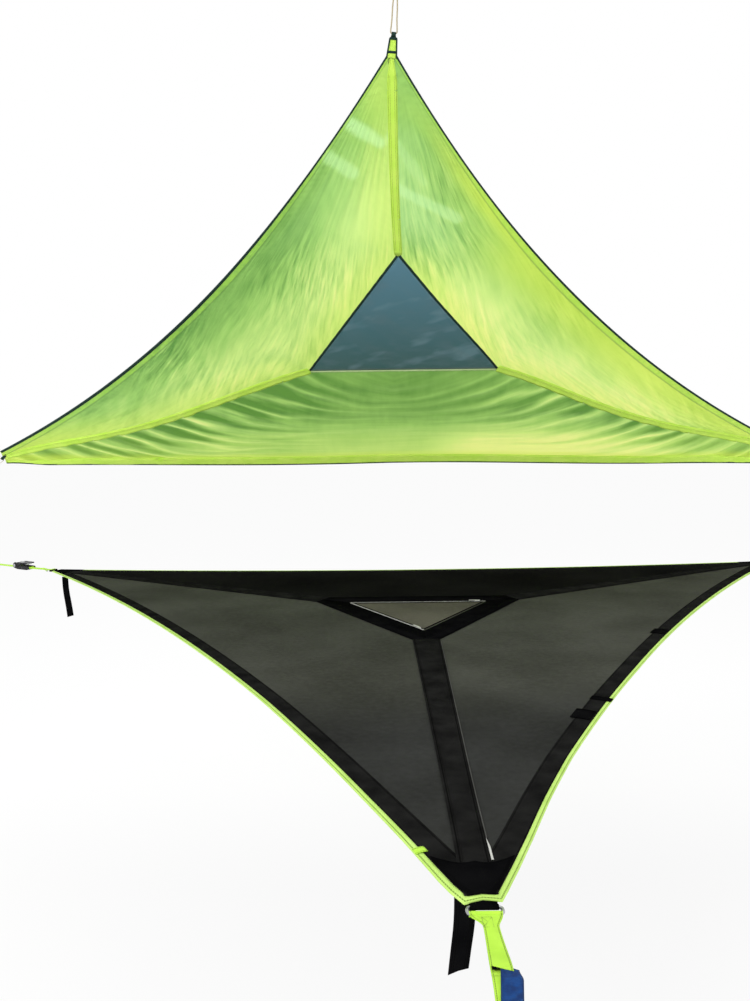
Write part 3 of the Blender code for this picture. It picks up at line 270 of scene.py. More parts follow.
class Finish:
    """One material, built node by node."""

    def __init__(self, name):
        self.material = bpy.data.materials.new(name)
        self.material.use_nodes = True
        self.tree = self.material.node_tree
        self.shader = self.tree.nodes["Principled BSDF"]
        self.place = self.node("ShaderNodeTexCoord").outputs["Object"]

    def node(self, kind, inputs=None, **settings):
        node = self.tree.nodes.new(kind)
        for key, value in settings.items():
            setattr(node, key, value)
        for key, value in (inputs or {}).items():
            self.put(node.inputs[key], value)
        return node

    def put(self, socket, value):
        if isinstance(value, bpy.types.NodeSocket):
            self.tree.links.new(value, socket)
        else:
            socket.default_value = value

    def set(self, **values):
        for key, value in values.items():
            self.put(self.shader.inputs[key.replace("_", " ")], value)
        return self

    def math(self, operation, first, second=0.0):
        return self.node(
            "ShaderNodeMath", {0: first, 1: second}, operation=operation
        ).outputs[0]

    def total(self, first, *others):
        """The sum of several values."""
        for other in others:
            first = self.math("ADD", first, other)
        return first

    def spread(self, value, low, high, start=0.0, end=1.0):
        """The value mapped from low..high to start..end, and held beyond them."""
        return self.node("ShaderNodeMapRange", {
            "Value": value, "From Min": low, "From Max": high, "To Min": start, "To Max": end,
        }).outputs["Result"]

    def noise(self, scale, detail=3.0, stretch=(1.0, 1.0, 1.0), place=None):
        place = self.place if place is None else place
        scaled = self.node("ShaderNodeMapping", {"Vector": place, "Scale": stretch})
        return self.node("ShaderNodeTexNoise", {
            "Vector": scaled.outputs[0], "Scale": scale, "Detail": detail,
        }).outputs["Fac"]

    def mix(self, share, first, second, kind="MIX"):
        node = self.node("ShaderNodeMix", data_type="RGBA", blend_type=kind)
        self.put(node.inputs["Factor"], share)
        self.put(node.inputs["A"], self.colour(first))
        self.put(node.inputs["B"], self.colour(second))
        return node.outputs["Result"]

    def colour(self, value):
        """What a colour's socket takes: another socket, linear light, or text as in srgb."""
        if isinstance(value, bpy.types.NodeSocket):
            return value
        return (*(srgb(value) if isinstance(value, str) else value), 1.0)

    def painted(self, name):
        """A number kept at each point of the mesh."""
        return self.node("ShaderNodeAttribute", attribute_name=name).outputs["Fac"]

    def creases(self, name):
        """Long soft creases: noise over painted numbers, the third of them its strength."""
        node = self.node("ShaderNodeAttribute", attribute_name=name)
        parts = self.node("ShaderNodeSeparateXYZ", {0: node.outputs["Vector"]})
        flat = self.node("ShaderNodeCombineXYZ", {0: parts.outputs[0], 1: parts.outputs[1]})
        lines = self.noise(1.0, 2.0, place=flat.outputs[0])
        return self.math("MULTIPLY", self.spread(lines, 0.28, 0.72, -1.0, 1.0), parts.outputs[2])

    def bump(self, height, distance, strength):
        node = self.node("ShaderNodeBump", {
            "Height": height, "Distance": distance, "Strength": strength,
        })
        self.put(self.shader.inputs["Normal"], node.outputs["Normal"])
        return node.outputs["Normal"]

    def mix_in(self, share, other):
        """Mixes this share of another shader with the material's own."""
        mix = self.node("ShaderNodeMixShader",
                        {"Fac": share, 1: self.shader.outputs[0], 2: other})
        self.put(self.tree.nodes["Material Output"].inputs["Surface"], mix.outputs[0])

    def threads(self, place, pitch, axis):
        """Rounded threads side by side along one axis, from 0 between them to 1 on top."""
        parts = self.node("ShaderNodeSeparateXYZ", {0: place})
        turn = self.math("MULTIPLY", parts.outputs[axis], math.pi / pitch)
        return self.math("ABSOLUTE", self.math("SINE", turn))

    def weave(self, place, pitch):
        """Crossed threads, over and under in turn."""
        warp, weft = (self.threads(place, pitch, axis) for axis in (0, 1))
        return self.math("MAXIMUM", warp, weft)


def srgb(text):
    """A colour written as in a paint program, as linear light."""
    values = [int(text[i:i + 2], 16) / 255.0 for i in (0, 2, 4)]
    return tuple(v / 12.92 if v <= 0.04045 else ((v + 0.055) / 1.055) ** 2.4 for v in values)


def see_through(finish, colour, share, normal):
    """Lets part of the light from behind the cloth through."""
    glow = finish.node("ShaderNodeBsdfTranslucent", {"Color": colour, "Normal": normal})
    finish.mix_in(share, glow.outputs[0])


def canopy_cloth():
    """Thin lime nylon, creased and doubled at its hems: paler or darker by painted light and
    shade, yellower as painted, bluer by a painted reflection.
    """
    finish = Finish("canopy_nylon")
    warm = finish.painted("warm")
    edge = finish.painted("edge")
    creases = finish.total(finish.creases("fan"), finish.creases("long"))
    blotch = finish.noise(3.2, 3.0)
    streak = finish.noise(26.0, 2.0, (1.0, 0.35, 0.35))
    # tone: painted light and shade, with painted shade and light along the creases, and random
    # tone
    tone = finish.total(
        finish.painted("pale"), finish.spread(blotch, 0.3, 0.7, -0.05, 0.05),
        finish.spread(streak, 0.3, 0.7, -0.04, 0.04), finish.math("MULTIPLY", creases, 0.30),
    )
    colour = "5a9f2a"
    for low, high, paler in ((0.0, 0.5, "abd573"), (0.5, 1.0, "d9ef99"), (1.0, 1.4, "f4f8b0")):
        colour = finish.mix(finish.spread(tone, low, high), colour, paler)
    # warm below zero: a painted reflection, pale mint near the peak
    colour = finish.mix(finish.spread(warm, 0.0, -1.0), colour, "d2f5c8")
    colour = finish.mix(finish.spread(warm, 0.0, 1.0), colour, "dcec50")
    hem = finish.math("MULTIPLY", finish.spread(edge, 0.036, 0.034),
                      finish.spread(finish.noise(35.0), 0.35, 0.60, 0.25, 0.60))
    colour = finish.mix(hem, colour, "b4e04a")
    line = finish.spread(finish.math("ABSOLUTE", finish.math("SUBTRACT", edge, 0.037)),
                         0.001, 0.005, 0.50, 0.0)
    colour = finish.mix(line, colour, "5d8f2c")
    finish.set(Base_Color=colour, Roughness=0.42, Sheen_Weight=0.1, Sheen_Roughness=0.4)
    height = finish.total(
        finish.math("MULTIPLY", finish.weave(finish.place, 0.0011), 0.35),
        finish.noise(420.0, 2.0), finish.math("MULTIPLY", creases, 7.0),
    )
    normal = finish.bump(height, 0.0004, 0.6)
    see_through(finish, finish.mix(0.25, colour, (1.0, 1.0, 1.0)), 0.62, normal)
    return finish.material


def window_cloth():
    """Dark nylon, bluer towards its top, with pale streaks and painted highlights along tilted
    creases.
    """
    finish = Finish("window_nylon")
    parts = finish.node("ShaderNodeSeparateXYZ", {0: finish.place})
    up = finish.spread(parts.outputs["Z"], 1.05, 1.50)
    streak = finish.noise(9.0, 3.0, (1.0, 0.8, 3.0))
    colour = finish.mix(up, "45726f", "6898aa")
    colour = finish.mix(finish.spread(streak, 0.50, 0.75, 0.0, 0.35), colour, "6d8b92")
    # painted highlights: paler lines along tilted creases
    tilted = finish.node("ShaderNodeMapping", {
        "Vector": finish.place, "Rotation": (0.0, 0.55, 0.0),
    }).outputs[0]
    creases = finish.noise(13.0, 2.0, (0.16, 1.0, 1.0), tilted)
    colour = finish.mix(finish.spread(creases, 0.54, 0.72, 0.0, 0.40), colour, "8fb0ba")
    finish.set(Base_Color=colour, Roughness=0.38, Sheen_Weight=0.2)
    height = finish.total(finish.weave(finish.place, 0.0011), finish.noise(300.0))
    see_through(finish, colour, 0.3, finish.bump(height, 0.0004, 0.5))
    return finish.material


def webbing(name, dark, light, stitch, stitched=(), rib=0.0016, line=0.0007, gloss=0.3,
            worn=0.35, glow=0.0):
    """Woven webbing whose mesh carries its length, its width and the way in from its edge."""
    finish = Finish(name)
    uv = finish.node("ShaderNodeUVMap", uv_map="webbing").outputs["UV"]
    parts = finish.node("ShaderNodeSeparateXYZ", {0: uv})
    inset = finish.painted("inset")
    ribs = finish.threads(uv, rib, 1)
    cross = finish.threads(uv, rib * 0.7, 0)
    shade = finish.noise(14.0, 3.0)
    tone = finish.total(finish.spread(ribs, 0.0, 1.0, 0.1, 0.8),
                        finish.spread(shade, 0.3, 0.7, -0.25, 0.25))
    colour = finish.mix(tone, dark, light)
    # lighter at both edges: wear, and where worn is large a painted highlight
    edge = finish.math("MULTIPLY", finish.spread(inset, 0.0, 0.0016, 1.0, 0.0),
                       finish.spread(finish.noise(60.0), 0.40, 0.65))
    colour = finish.mix(finish.math("MULTIPLY", edge, worn), colour, light)
    height = finish.total(finish.math("MULTIPLY", ribs, 0.8),
                          finish.math("MULTIPLY", cross, 0.35))
    for at in stitched:
        off = finish.math("ABSOLUTE", finish.math("SUBTRACT", inset, at))
        row = finish.spread(off, 0.7 * line, 1.3 * line, 1.0, 0.0)
        step = finish.math("FRACT", finish.math("DIVIDE", parts.outputs["X"], STITCH_PITCH))
        thread = finish.math("MULTIPLY", row, finish.spread(step, 0.68, 0.74, 1.0, 0.25))
        colour = finish.mix(thread, colour, stitch)
        height = finish.math("SUBTRACT", height, finish.math("MULTIPLY", row, 1.1))
    finish.set(Base_Color=colour, Roughness=0.7, Specular_IOR_Level=gloss)
    normal = finish.bump(height, 0.0005, 0.7)
    if glow:
        see_through(finish, colour, glow, normal)
    return finish.material


def net(name, dark, light):
    """Fine polyester net: threads over small dark holes, with faint wide patches, and painted
    shade where its mesh keeps it.
    """
    finish = Finish(name)
    threads = finish.weave(finish.place, 0.0022)
    patches = finish.noise(2.1, 3.0)
    fine = finish.noise(55.0, 2.0)
    tone = finish.total(finish.spread(patches, 0.35, 0.65, 0.15, 0.85),
                        finish.spread(fine, 0.3, 0.7, -0.15, 0.15))
    colour = finish.mix(tone, dark, light)
    hole = tuple(0.35 * value for value in srgb(dark))
    colour = finish.mix(finish.spread(threads, 0.35, 0.75, 0.75, 0.0), colour, hole)
    # painted shade: darker and bluer as painted on the mesh
    shaded = finish.mix(finish.painted("shade"), (1.0, 1.0, 1.0), "c2c2cc")
    colour = finish.mix(1.0, colour, shaded, "MULTIPLY")
    finish.set(Base_Color=colour, Roughness=0.8, Specular_IOR_Level=0.0)
    finish.bump(threads, 0.0006, 0.8)
    return finish.material


def bare_label():
    """Blue woven label without lettering, darker along its edges."""
    finish = Finish("label_blue")
    colour = finish.mix(finish.spread(finish.noise(90.0, 2.0), 0.35, 0.65), "002860", "043c7c")
    edge = finish.spread(finish.painted("inset"), 0.0012, 0.0022, 1.0, 0.0)
    colour = finish.mix(edge, colour, "022a5c")
    finish.set(Base_Color=colour, Roughness=0.5, Specular_IOR_Level=0.1)
    finish.bump(finish.weave(finish.place, 0.0007), 0.0003, 0.7)
    return finish.material


def metal(name, dark, light, roughness, metallic, worn):
    """Plated or coated metal with fine brushing, duller patches and bright scuffs."""
    finish = Finish(name)
    brushed = finish.noise(240.0, 3.0, (0.12, 1.0, 1.0))
    patches = finish.noise(45.0, 4.0)
    scuffs = finish.spread(finish.noise(110.0, 5.0), 0.60, 0.68)
    colour = finish.mix(finish.spread(patches, 0.3, 0.7), dark, light)
    colour = finish.mix(finish.math("MULTIPLY", scuffs, 0.6), colour, worn)
    rough = finish.spread(patches, 0.3, 0.7, roughness - 0.08, roughness + 0.1)
    finish.set(Base_Color=colour, Metallic=metallic, Roughness=rough)
    finish.bump(brushed, 0.0002, 0.35)
    return finish.material


def moulded(name, dark, light):
    """Plastic or thread with a fine uneven grain."""
    finish = Finish(name)
    colour = finish.mix(finish.spread(finish.noise(130.0), 0.35, 0.65), dark, light)
    finish.set(Base_Color=colour, Roughness=0.45)
    finish.bump(finish.noise(600.0), 0.0002, 0.4)
    return finish.material


def twine(name, dark, light):
    """Twisted cord: its mesh carries how high each point is on its strand, and it is darker low
    between the strands as painted shade.
    """
    finish = Finish(name)
    strand = finish.painted("strand")
    # painted shade: darker down between the strands
    colour = finish.mix(finish.spread(strand, 0.2, 1.0), dark, light)
    fibre = finish.noise(900.0, 2.0)
    colour = finish.mix(finish.spread(fibre, 0.4, 0.7, 0.0, 0.4), colour, dark)
    finish.set(Base_Color=colour, Roughness=0.8, Sheen_Weight=0.3)
    finish.bump(fibre, 0.0002, 0.6)
    return finish.material


def make_finishes():
    """Every finish, by the name that the pieces ask for it."""
    black, soot, olive = "030304", "080808", "6c8a2c"
    return {
        "canopy": canopy_cloth(),
        "window": window_cloth(),
        "canopy_band": webbing("canopy_band", "b8ec40", "dcfb70", "94b83a", stitched=(0.0035,),
                               rib=0.0012),
        "turned_edge": webbing("edge_turned", "bfd694", "e6f2c4", "90a86a", rib=0.001, glow=0.3),
        "piping": webbing("piping", "182c27", "284139", "101d19", rib=0.001, gloss=0.1),
        "black": webbing("webbing_black", black, "121213", soot, stitched=(0.0045, 0.0085),
                         gloss=0.0),
        # black webbing with a painted highlight along both edges
        "black_edge_highlight": webbing("webbing_black_edge_highlight", black, "272726", soot, stitched=(0.0045,),
                            gloss=0.0, worn=0.9),
        "grey_tape": webbing("tape_grey", "3c3c3a", "5a5a57", "30302d", gloss=0.0),
        # a pale strip that is a painted highlight
        "pale_highlight_strip": webbing("highlight_strip_pale", "a9a9a4", "d8d8d2", "8a8a84"),
        "lime": webbing("webbing_lime", "9ccf2e", "bdec4b", olive, stitched=(0.0028,)),
        "edging": webbing("edging_lime", "a6cf52", "cbee80", olive, stitched=(0.0116,),
                          rib=0.0013, line=0.0014),
        "net": net("net_olive", "3b3c36", "50514b"),
        # the back panel: a darker copy of the net, painted shade
        "net_back": net("net_back", "0f0f0f", "1c1c1b"),
        "door": net("net_door", "4d4b43", "66635a"),
        "label": bare_label(),
        "steel": metal("zinc", "8d8e90", "c9cacc", 0.32, 1.0, "f0f0f0"),
        "dark_steel": metal("black_coated", "191a1c", "2a2b2e", 0.42, 0.6, "6a6b6e"),
        "zip": moulded("zip_nylon", "9a9a96", "c2c2bd"),
        "cord": twine("cord_tan", "8d8064", "d6c8a2"),
        "thread": moulded("thread_olive", "63801f", "86a535"),
        "dark_thread": moulded("thread_dark", "050505", "121212"),
    }


# Building and placing pieces

def settle(piece, slot, body=ROOT, replaced=()):
    """Puts a finished piece on its body and in place of its CAD nodes; its slot is not used."""
    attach(piece, body)
    if replaced:
        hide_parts(*replaced)
    return piece


def add_mesh(name, vertices, faces, material):
    data = bpy.data.meshes.new(name)
    data.from_pydata([tuple(v) for v in vertices], [], faces)
    data.materials.append(material)
    return new_object(name, data)


def smooth(item):
    item.data.polygons.foreach_set("use_smooth", [True] * len(item.data.polygons))


def paint(item, name, values):
    """Keeps a number at each point of the mesh, for its finish."""
    layer = item.data.attributes.new(name, "FLOAT", "POINT")
    layer.data.foreach_set("value", values)


def paint_vectors(item, name, values):
    layer = item.data.attributes.new(name, "FLOAT_VECTOR", "POINT")
    layer.data.foreach_set("vector", [number for value in values for number in value])


def grid_faces(rows, columns, first=0, closed=False):
    """Four-sided faces between rows of points, the first point's number given."""
    faces = []
    for i in range(rows - 1):
        for j in range(columns - (0 if closed else 1)):
            a = first + i * columns + j
            b = first + i * columns + (j + 1) % columns
            faces.append((a, b, b + columns, a + columns))
    return faces


def evenly(start, end, steps):
    """Numbers in equal steps from start to end."""
    return [start + (end - start) * i / steps for i in range(steps + 1)]


def shares(steps):
    """Numbers in equal steps from 0 to 1."""
    return evenly(0.0, 1.0, steps)


def lay(across, along, place):
    """Lines side by side, each point placed by its numbers across and along."""
    return [[place(a, b) for b in along] for a in across]


def turn_by(angle):
    return Matrix.Rotation(math.radians(angle), 4, "Z")


def thicken(item, thickness):
    """Gives a sheet its thickness, half to each side."""
    modifier = item.modifiers.new("thickness", "SOLIDIFY")
    modifier.thickness = thickness
    modifier.offset = 0.0


def trim(item, cuts):
    """Cuts the mesh by planes, each a point and a direction, and drops what is beyond."""
    shape = bmesh.new()
    shape.from_mesh(item.data)
    for point, normal in cuts:
        everything = shape.verts[:] + shape.edges[:] + shape.faces[:]
        bmesh.ops.bisect_plane(
            shape, geom=everything, dist=0.00001, plane_co=point, plane_no=normal,
            clear_outer=True,
        )
    shape.to_mesh(item.data)
    shape.free()


def merge_points(item):
    """Joins a sheet's panels, and the points that fall together at its tips."""
    shape = bmesh.new()
    shape.from_mesh(item.data)
    bmesh.ops.remove_doubles(shape, verts=shape.verts, dist=MERGE)
    shape.to_mesh(item.data)
    shape.free()


def neighbours(line, i):
    """What comes before and after number i of a line, or that itself at an end."""
    return line[max(i - 1, 0)], line[min(i + 1, len(line) - 1)]


def walked_along(points):
    """How far each point is from the first one, along the line."""
    walked = [0.0]
    for before, after in zip(points, points[1:]):
        walked.append(walked[-1] + math.dist(before, after))
    return walked


def add_strip(name, lines, material, thickness, cuts=(), widths=None):
    """Webbing through lines of points that run side by side, from edge to edge.

    widths are the lines' places across the webbing, worked out if they aren't given.
    """
    count, steps = len(lines), len(lines[0])
    points = [p for line in lines for p in line]
    item = add_mesh(name, points, grid_faces(count, steps), material)
    along = walked_along(lines[count // 2])
    across = [widths or walked_along(column) for column in zip(*lines)]
    layer = item.data.uv_layers.new(name="webbing")
    for loop in item.data.loops:
        i, j = divmod(loop.vertex_index, steps)
        layer.data[loop.index].uv = (along[j], across[j][i])
    paint(item, "inset", [
        min(across[j][i], across[j][-1] - across[j][i]) for i in range(count) for j in range(steps)
    ])
    smooth(item)
    if cuts:
        trim(item, cuts)
    thicken(item, thickness)
    return item


def sew(name, lines, material, thickness, slot, replaced=(), **more):
    """A strip that is a piece of its own on the body of all cloth."""
    return settle(add_strip(name, lines, material, thickness, **more), slot, replaced=replaced)


def between(first, last, count, lift=0.0):
    """Lines side by side between two lines, the middle ones raised a little."""
    return [
        [Vector(a).lerp(Vector(b), share) + UP * (lift * math.sin(math.pi * share))
         for a, b in zip(first, last)]
        for share in shares(count - 1)
    ]


def add_ribbon(name, path, width, material, matrix, thickness=WEBBING_THICKNESS, columns=5):
    """Webbing along a path in the X-Z plane of its matrix, as wide as given along Y."""
    lines = lay(shares(columns - 1), path,
                lambda share, p: matrix @ Vector((p[0], (share - 0.5) * width, p[1])))
    return add_strip(name, lines, material, STRAP_SHARE * thickness)


def add_triangle(name, steps, place, material, thickness):
    """A three-cornered sheet, its points placed by their shares of the three corners."""
    vertices, faces = [], []
    for i in range(steps + 1):
        for j in range(i + 1):
            a, c = 1.0 - i / steps, j / steps
            here = len(vertices)
            below = here + i + 1
            vertices.append(place(a, 1.0 - a - c, c))
            if i < steps:
                faces.append((here, below, below + 1))
                if j < i:
                    faces.append((here, below + 1, here + 1))
    sheet = add_mesh(name, vertices, faces, material)
    smooth(sheet)
    thicken(sheet, thickness)
    return sheet


def arc(centre, radius, start, end, steps):
    """Points on an arc between two angles."""
    turns = [math.radians(angle) for angle in evenly(start, end, steps)]
    return [(centre[0] + radius * math.cos(a), centre[1] + radius * math.sin(a)) for a in turns]


def straight(start, end, steps):
    """Points on the straight line between two."""
    return list(zip(*(evenly(a, b, steps) for a, b in zip(start, end))))


def straight_run(start, end, steps):
    """As straight, between two Vectors."""
    return [start.lerp(end, share) for share in shares(steps)]


def join(name, items):
    """One piece made of several with the same finish, their modifiers applied."""
    graph = bpy.context.evaluated_depsgraph_get()
    shape = bmesh.new()
    for item in items:
        mesh = bpy.data.meshes.new_from_object(item.evaluated_get(graph))
        mesh.transform(item.matrix_world)
        shape.from_mesh(mesh)
    data = bpy.data.meshes.new(name)
    shape.to_mesh(data)
    shape.free()
    for material in items[0].data.materials:
        data.materials.append(material)
    for item in items:
        bpy.data.objects.remove(item, do_unlink=True)
    return new_object(name, data)


def walk(points, pitch, ahead=0.0):
    """Places and directions this far apart along a line of points."""
    places = []
    walked = 0.0
    for before, after in zip(points, points[1:]):
        run = after - before
        length = run.length
        while length > 0.0 and ahead <= walked + length:
            places.append((before + run * ((ahead - walked) / length), run / length))
            ahead += pitch
        walked += length
    return places


# Small solids: points by their shares of three sizes, then faces
STITCH = (
    ((-0.5, 0.0, 0.1), (-0.3, 0.5, 0.6), (0.3, 0.5, 0.6), (0.5, 0.0, 0.1),
     (0.3, -0.5, 0.6), (-0.3, -0.5, 0.6), (-0.3, 0.0, 1.0), (0.3, 0.0, 1.0)),
    ((0, 5, 6), (0, 6, 1), (1, 6, 7, 2), (2, 7, 3), (3, 7, 4), (4, 7, 6, 5), (0, 1, 2, 3, 4, 5)),
)
ZIP_TOOTH = (
    ((-1.0, -1.0, 0.0), (1.0, -1.0, 0.0), (1.0, 1.0, 0.0), (-1.0, 1.0, 0.0),
     (-0.6, -0.8, 1.0), (0.6, -0.8, 1.0), (0.6, 0.8, 1.0), (-0.6, 0.8, 1.0)),
    ((4, 5, 6, 7), (0, 1, 5, 4), (1, 2, 6, 5), (2, 3, 7, 6), (3, 0, 4, 7), (3, 2, 1, 0)),
)


def add_solid(vertices, faces, solid, place, *axes):
    """Adds a small solid at a place, each axis a direction and the size along it."""
    points, sides = solid
    first = len(vertices)
    for point in points:
        corner = place.copy()
        for share, (axis, size) in zip(point, axes):
            corner += axis * (share * size)
        vertices.append(corner)
    faces += [tuple(first + i for i in side) for side in sides]


def add_stitches(name, lines, up, material, pitch, size):
    """Rows of stitches lying on a surface, each a short rounded thread."""
    vertices, faces = [], []
    length, width, height = size
    for line in lines:
        for place, ahead in walk(line, pitch, pitch / 2.0):
            side = up.cross(ahead).normalized()
            add_solid(vertices, faces, STITCH, place, (ahead, length), (side, width), (up, height))
    return add_mesh(name, vertices, faces, material)


def smoothstep(value, low, high):
    t = min(max((value - low) / (high - low), 0.0), 1.0)
    return t * t * (3.0 - 2.0 * t)


def find_root(function, low, high):
    """Where the function changes its sign between low and high, by halving."""
    low_is_negative = function(low) < 0.0
    for _ in range(60):
        middle = (low + high) / 2.0
        if (function(middle) < 0.0) == low_is_negative:
            low = middle
        else:
            high = middle
    return (low + high) / 2.0


# Cords and what they are tied to

def corner_matrix(angle):
    """Axes of a tether: X outwards, Z up, from the corner point of the hammock."""
    return turn_by(angle) @ Matrix.Translation((CENTRE_TO_CORNER, 0.0, 0.0))


def eye_centres():
    """Places along a tether of the middles of its eye's two rounded ends."""
    radius = EYE_HEIGHT / 2.0
    outer = EYE_END - radius - WEBBING_THICKNESS
    return outer - EYE_LENGTH + EYE_HEIGHT, outer


CANOPY_BASE = Vector((CANOPY_OFFSET, *CANOPY_LOW))
CANOPY_RISE = Vector((0.0, CANOPY_HIGH[0] - CANOPY_LOW[0], CANOPY_HIGH[1] - CANOPY_LOW[1]))
CANOPY_SLOPE = CANOPY_RISE.length
CANOPY_V = CANOPY_RISE.normalized()
CANOPY_U = Vector((1.0, 0.0, 0.0))
CANOPY_UP = CANOPY_V.cross(CANOPY_U)
CUT_U = CANOPY_WIDTH / 2.0 - CANOPY_CORNER_CUT


def canopy_place(u, v, drop=0.0):
    """A point of the canopy, with its middle seam and window drawn aside as in the picture."""
    shift = PEAK_SHIFT * smoothstep(v, 1.4, CANOPY_SLOPE)
    if v < WINDOW_HIGH:
        aside = max(0.0, (v - WINDOW_LOW) / (WINDOW_HIGH - WINDOW_LOW))
    else:
        aside = 1.0 - ((v - WINDOW_HIGH) / (CANOPY_SLOPE - WINDOW_HIGH)) ** 2
    outwards = abs(u) / (CANOPY_WIDTH / 2.0 * (1.0 - v / CANOPY_SLOPE) + 0.02)
    shift -= WINDOW_TOP_SHIFT * aside * smoothstep(outwards, 0.75, 0.25)
    from_foot = math.hypot(u - WINDOW_RIGHT[0], v - WINDOW_LOW)
    shift += WINDOW_FOOT_SHIFT * smoothstep(from_foot, 0.6, 0.0)
    return CANOPY_BASE + CANOPY_U * (u + shift) + CANOPY_V * v - UP * drop


def side_edge(t):
    """(u, v) on the left edge of the canopy, from the corner at 0 to the peak at 1."""
    half = CANOPY_WIDTH / 2.0
    length = math.hypot(half, CANOPY_SLOPE)
    bow = 4.0 * CANOPY_EDGE_BOW * t * (1.0 - t)
    return (
        -half + half * t + bow * CANOPY_SLOPE / length,
        CANOPY_SLOPE * t - bow * half / length,
    )


def hem_point(u):
    """(v, drop) of the lower edge of the canopy."""
    t = u / CANOPY_WIDTH + 0.5
    across = (u + CUT_U) / (2.0 * CUT_U)
    return 4.0 * HEM_BOW * t * (1.0 - t), HEM_DROP * math.sin(math.pi * across) ** 2


CORNER_T = find_root(lambda t: side_edge(t)[0] + CUT_U, 0.0, 0.5)
PEAK_T = find_root(lambda t: side_edge(t)[0] + CANOPY_PEAK_WIDTH / 2.0, 0.5, 1.0)
PEAK_V = side_edge(PEAK_T)[1]
CUT_MIDDLE = (side_edge(CORNER_T)[1] + hem_point(-CUT_U)[0]) / 2.0


def flat_on_canopy(line):
    """The direction laid into the canopy's plane."""
    return (line - CANOPY_UP * line.dot(CANOPY_UP)).normalized()


def loop_axes(place, outwards, neck=0.0):
    """Axes of a canopy loop, X along it and Z up from the cloth, its eye, and how far that is."""
    flat = flat_on_canopy(outwards)
    reach = CANOPY_LOOP_EYE + WEBBING_THICKNESS + CANOPY_LOOP_REACH + neck
    across = CANOPY_UP.cross(flat)
    matrix = Matrix((flat, across, flat.cross(across))).transposed().to_4x4()
    matrix.translation = place
    return matrix, place + flat * reach, reach


def peak_loop_axes():
    """As loop_axes, for the loop above the peak's leaning neck."""
    neck_line = (CANOPY_V + CANOPY_U * PEAK_NECK_LEAN).normalized()
    return loop_axes(canopy_place(0.0, PEAK_V), neck_line, PEAK_NECK)


def tie_line(corner):
    """Where a low corner's loop is sewn on, its direction, and the eye that it points to."""
    place = canopy_place(CUT_U if corner == "right" else -CUT_U, CUT_MIDDLE)
    along_strap = Vector((eye_centres()[0], 0.0, -WEBBING_THICKNESS / 2.0))
    eye = corner_matrix(CORNERS[corner]) @ along_strap
    return place, (eye - place).normalized(), eye


def bight(eye, crosswise, line, width=CANOPY_LOOP_WIDTH, knot=KNOT_AT, diameter=CORD_DIAMETER,
          middle=0.005):
    """The route through a loop's eye, both strands drawn together into a knot."""
    pull = (line - crosswise * line.dot(crosswise)).normalized()
    start = eye + pull * (CANOPY_LOOP_EYE - diameter / 2.0 - GAP)
    across = (crosswise - line * crosswise.dot(line)).normalized()
    side = width / 2.0
    half = [
        (knot, 0.0026), (0.62 * knot, middle), (0.30 * knot, side + 0.0018),
        (0.008, side + 0.0042), (0.0008, side + 0.0022), (0.0, 0.5 * side),
    ]
    points = [start + line * s + across * w for s, w in half]
    points += [start + line * s - across * w for s, w in reversed(half)]
    return points, start, across


def smooth_path(points, spacing):
    """Points this far apart on a smooth curve through the given points."""
    points = [Vector(point) for point in points]
    ends = [2.0 * points[0] - points[1]] + points + [2.0 * points[-1] - points[-2]]
    fine = []
    for i in range(1, len(ends) - 2):
        a, b, c, d = ends[i - 1:i + 3]
        for k in range(24):
            t = k / 24.0
            fine.append(
                0.5 * (2.0 * b + (c - a) * t + (2.0 * a - 5.0 * b + 4.0 * c - d) * t ** 2
                       + (3.0 * b - a - 3.0 * c + d) * t ** 3)
            )
    fine.append(points[-1])
    path = [place for place, _ in walk(fine, spacing)]
    if (path[-1] - fine[-1]).length > 0.2 * spacing:
        path.append(fine[-1])
    return path


def path_length(path):
    return walked_along(path)[-1]


def add_rope(name, path, diameter, material, sides=12):
    """A twisted cord: strands that wind round the path, as one closed tube."""
    vertices, heights = [], []
    normal = (path[1] - path[0]).orthogonal().normalized()
    walked = 0.0
    for i, place in enumerate(path):
        before, after = neighbours(path, i)
        ahead = (after - before).normalized()
        normal = (normal - ahead * normal.dot(ahead)).normalized()
        side = ahead.cross(normal)
        walked += (place - before).length
        twist = 2.0 * math.pi * walked / ROPE_LAY
        for k in range(sides):
            angle = 2.0 * math.pi * k / sides
            height = abs(math.cos(ROPE_STRANDS / 2.0 * (angle - twist)))
            radius = diameter / 2.0 * (0.84 + 0.16 * height)
            vertices.append(
                place + normal * (radius * math.cos(angle)) + side * (radius * math.sin(angle))
            )
            heights.append(height)
    faces = grid_faces(len(path), sides, closed=True)
    faces.append(tuple(range(sides))[::-1])
    faces.append(tuple(range(len(vertices) - sides, len(vertices))))
    rope = add_mesh(name, vertices, faces, material)
    paint(rope, "strand", heights)
    smooth(rope)
    return rope


def tie_knot(name, place, line, radius, material):
    """A few turns of cord wound round the two strands and pulled tight."""
    first = line.orthogonal().normalized()
    second = line.cross(first)
    path = []
    steps = 16
    for i in range(KNOT_TURNS * steps + 1):
        angle = 2.0 * math.pi * i / steps
        rise = (i / steps - KNOT_TURNS / 2.0) * CORD_DIAMETER * 1.02
        path.append(
            place + line * rise + first * (radius * math.cos(angle))
            + second * (radius * math.sin(angle))
        )
    return settle(add_rope(name, path, CORD_DIAMETER, material, sides=8), "tan_cord")


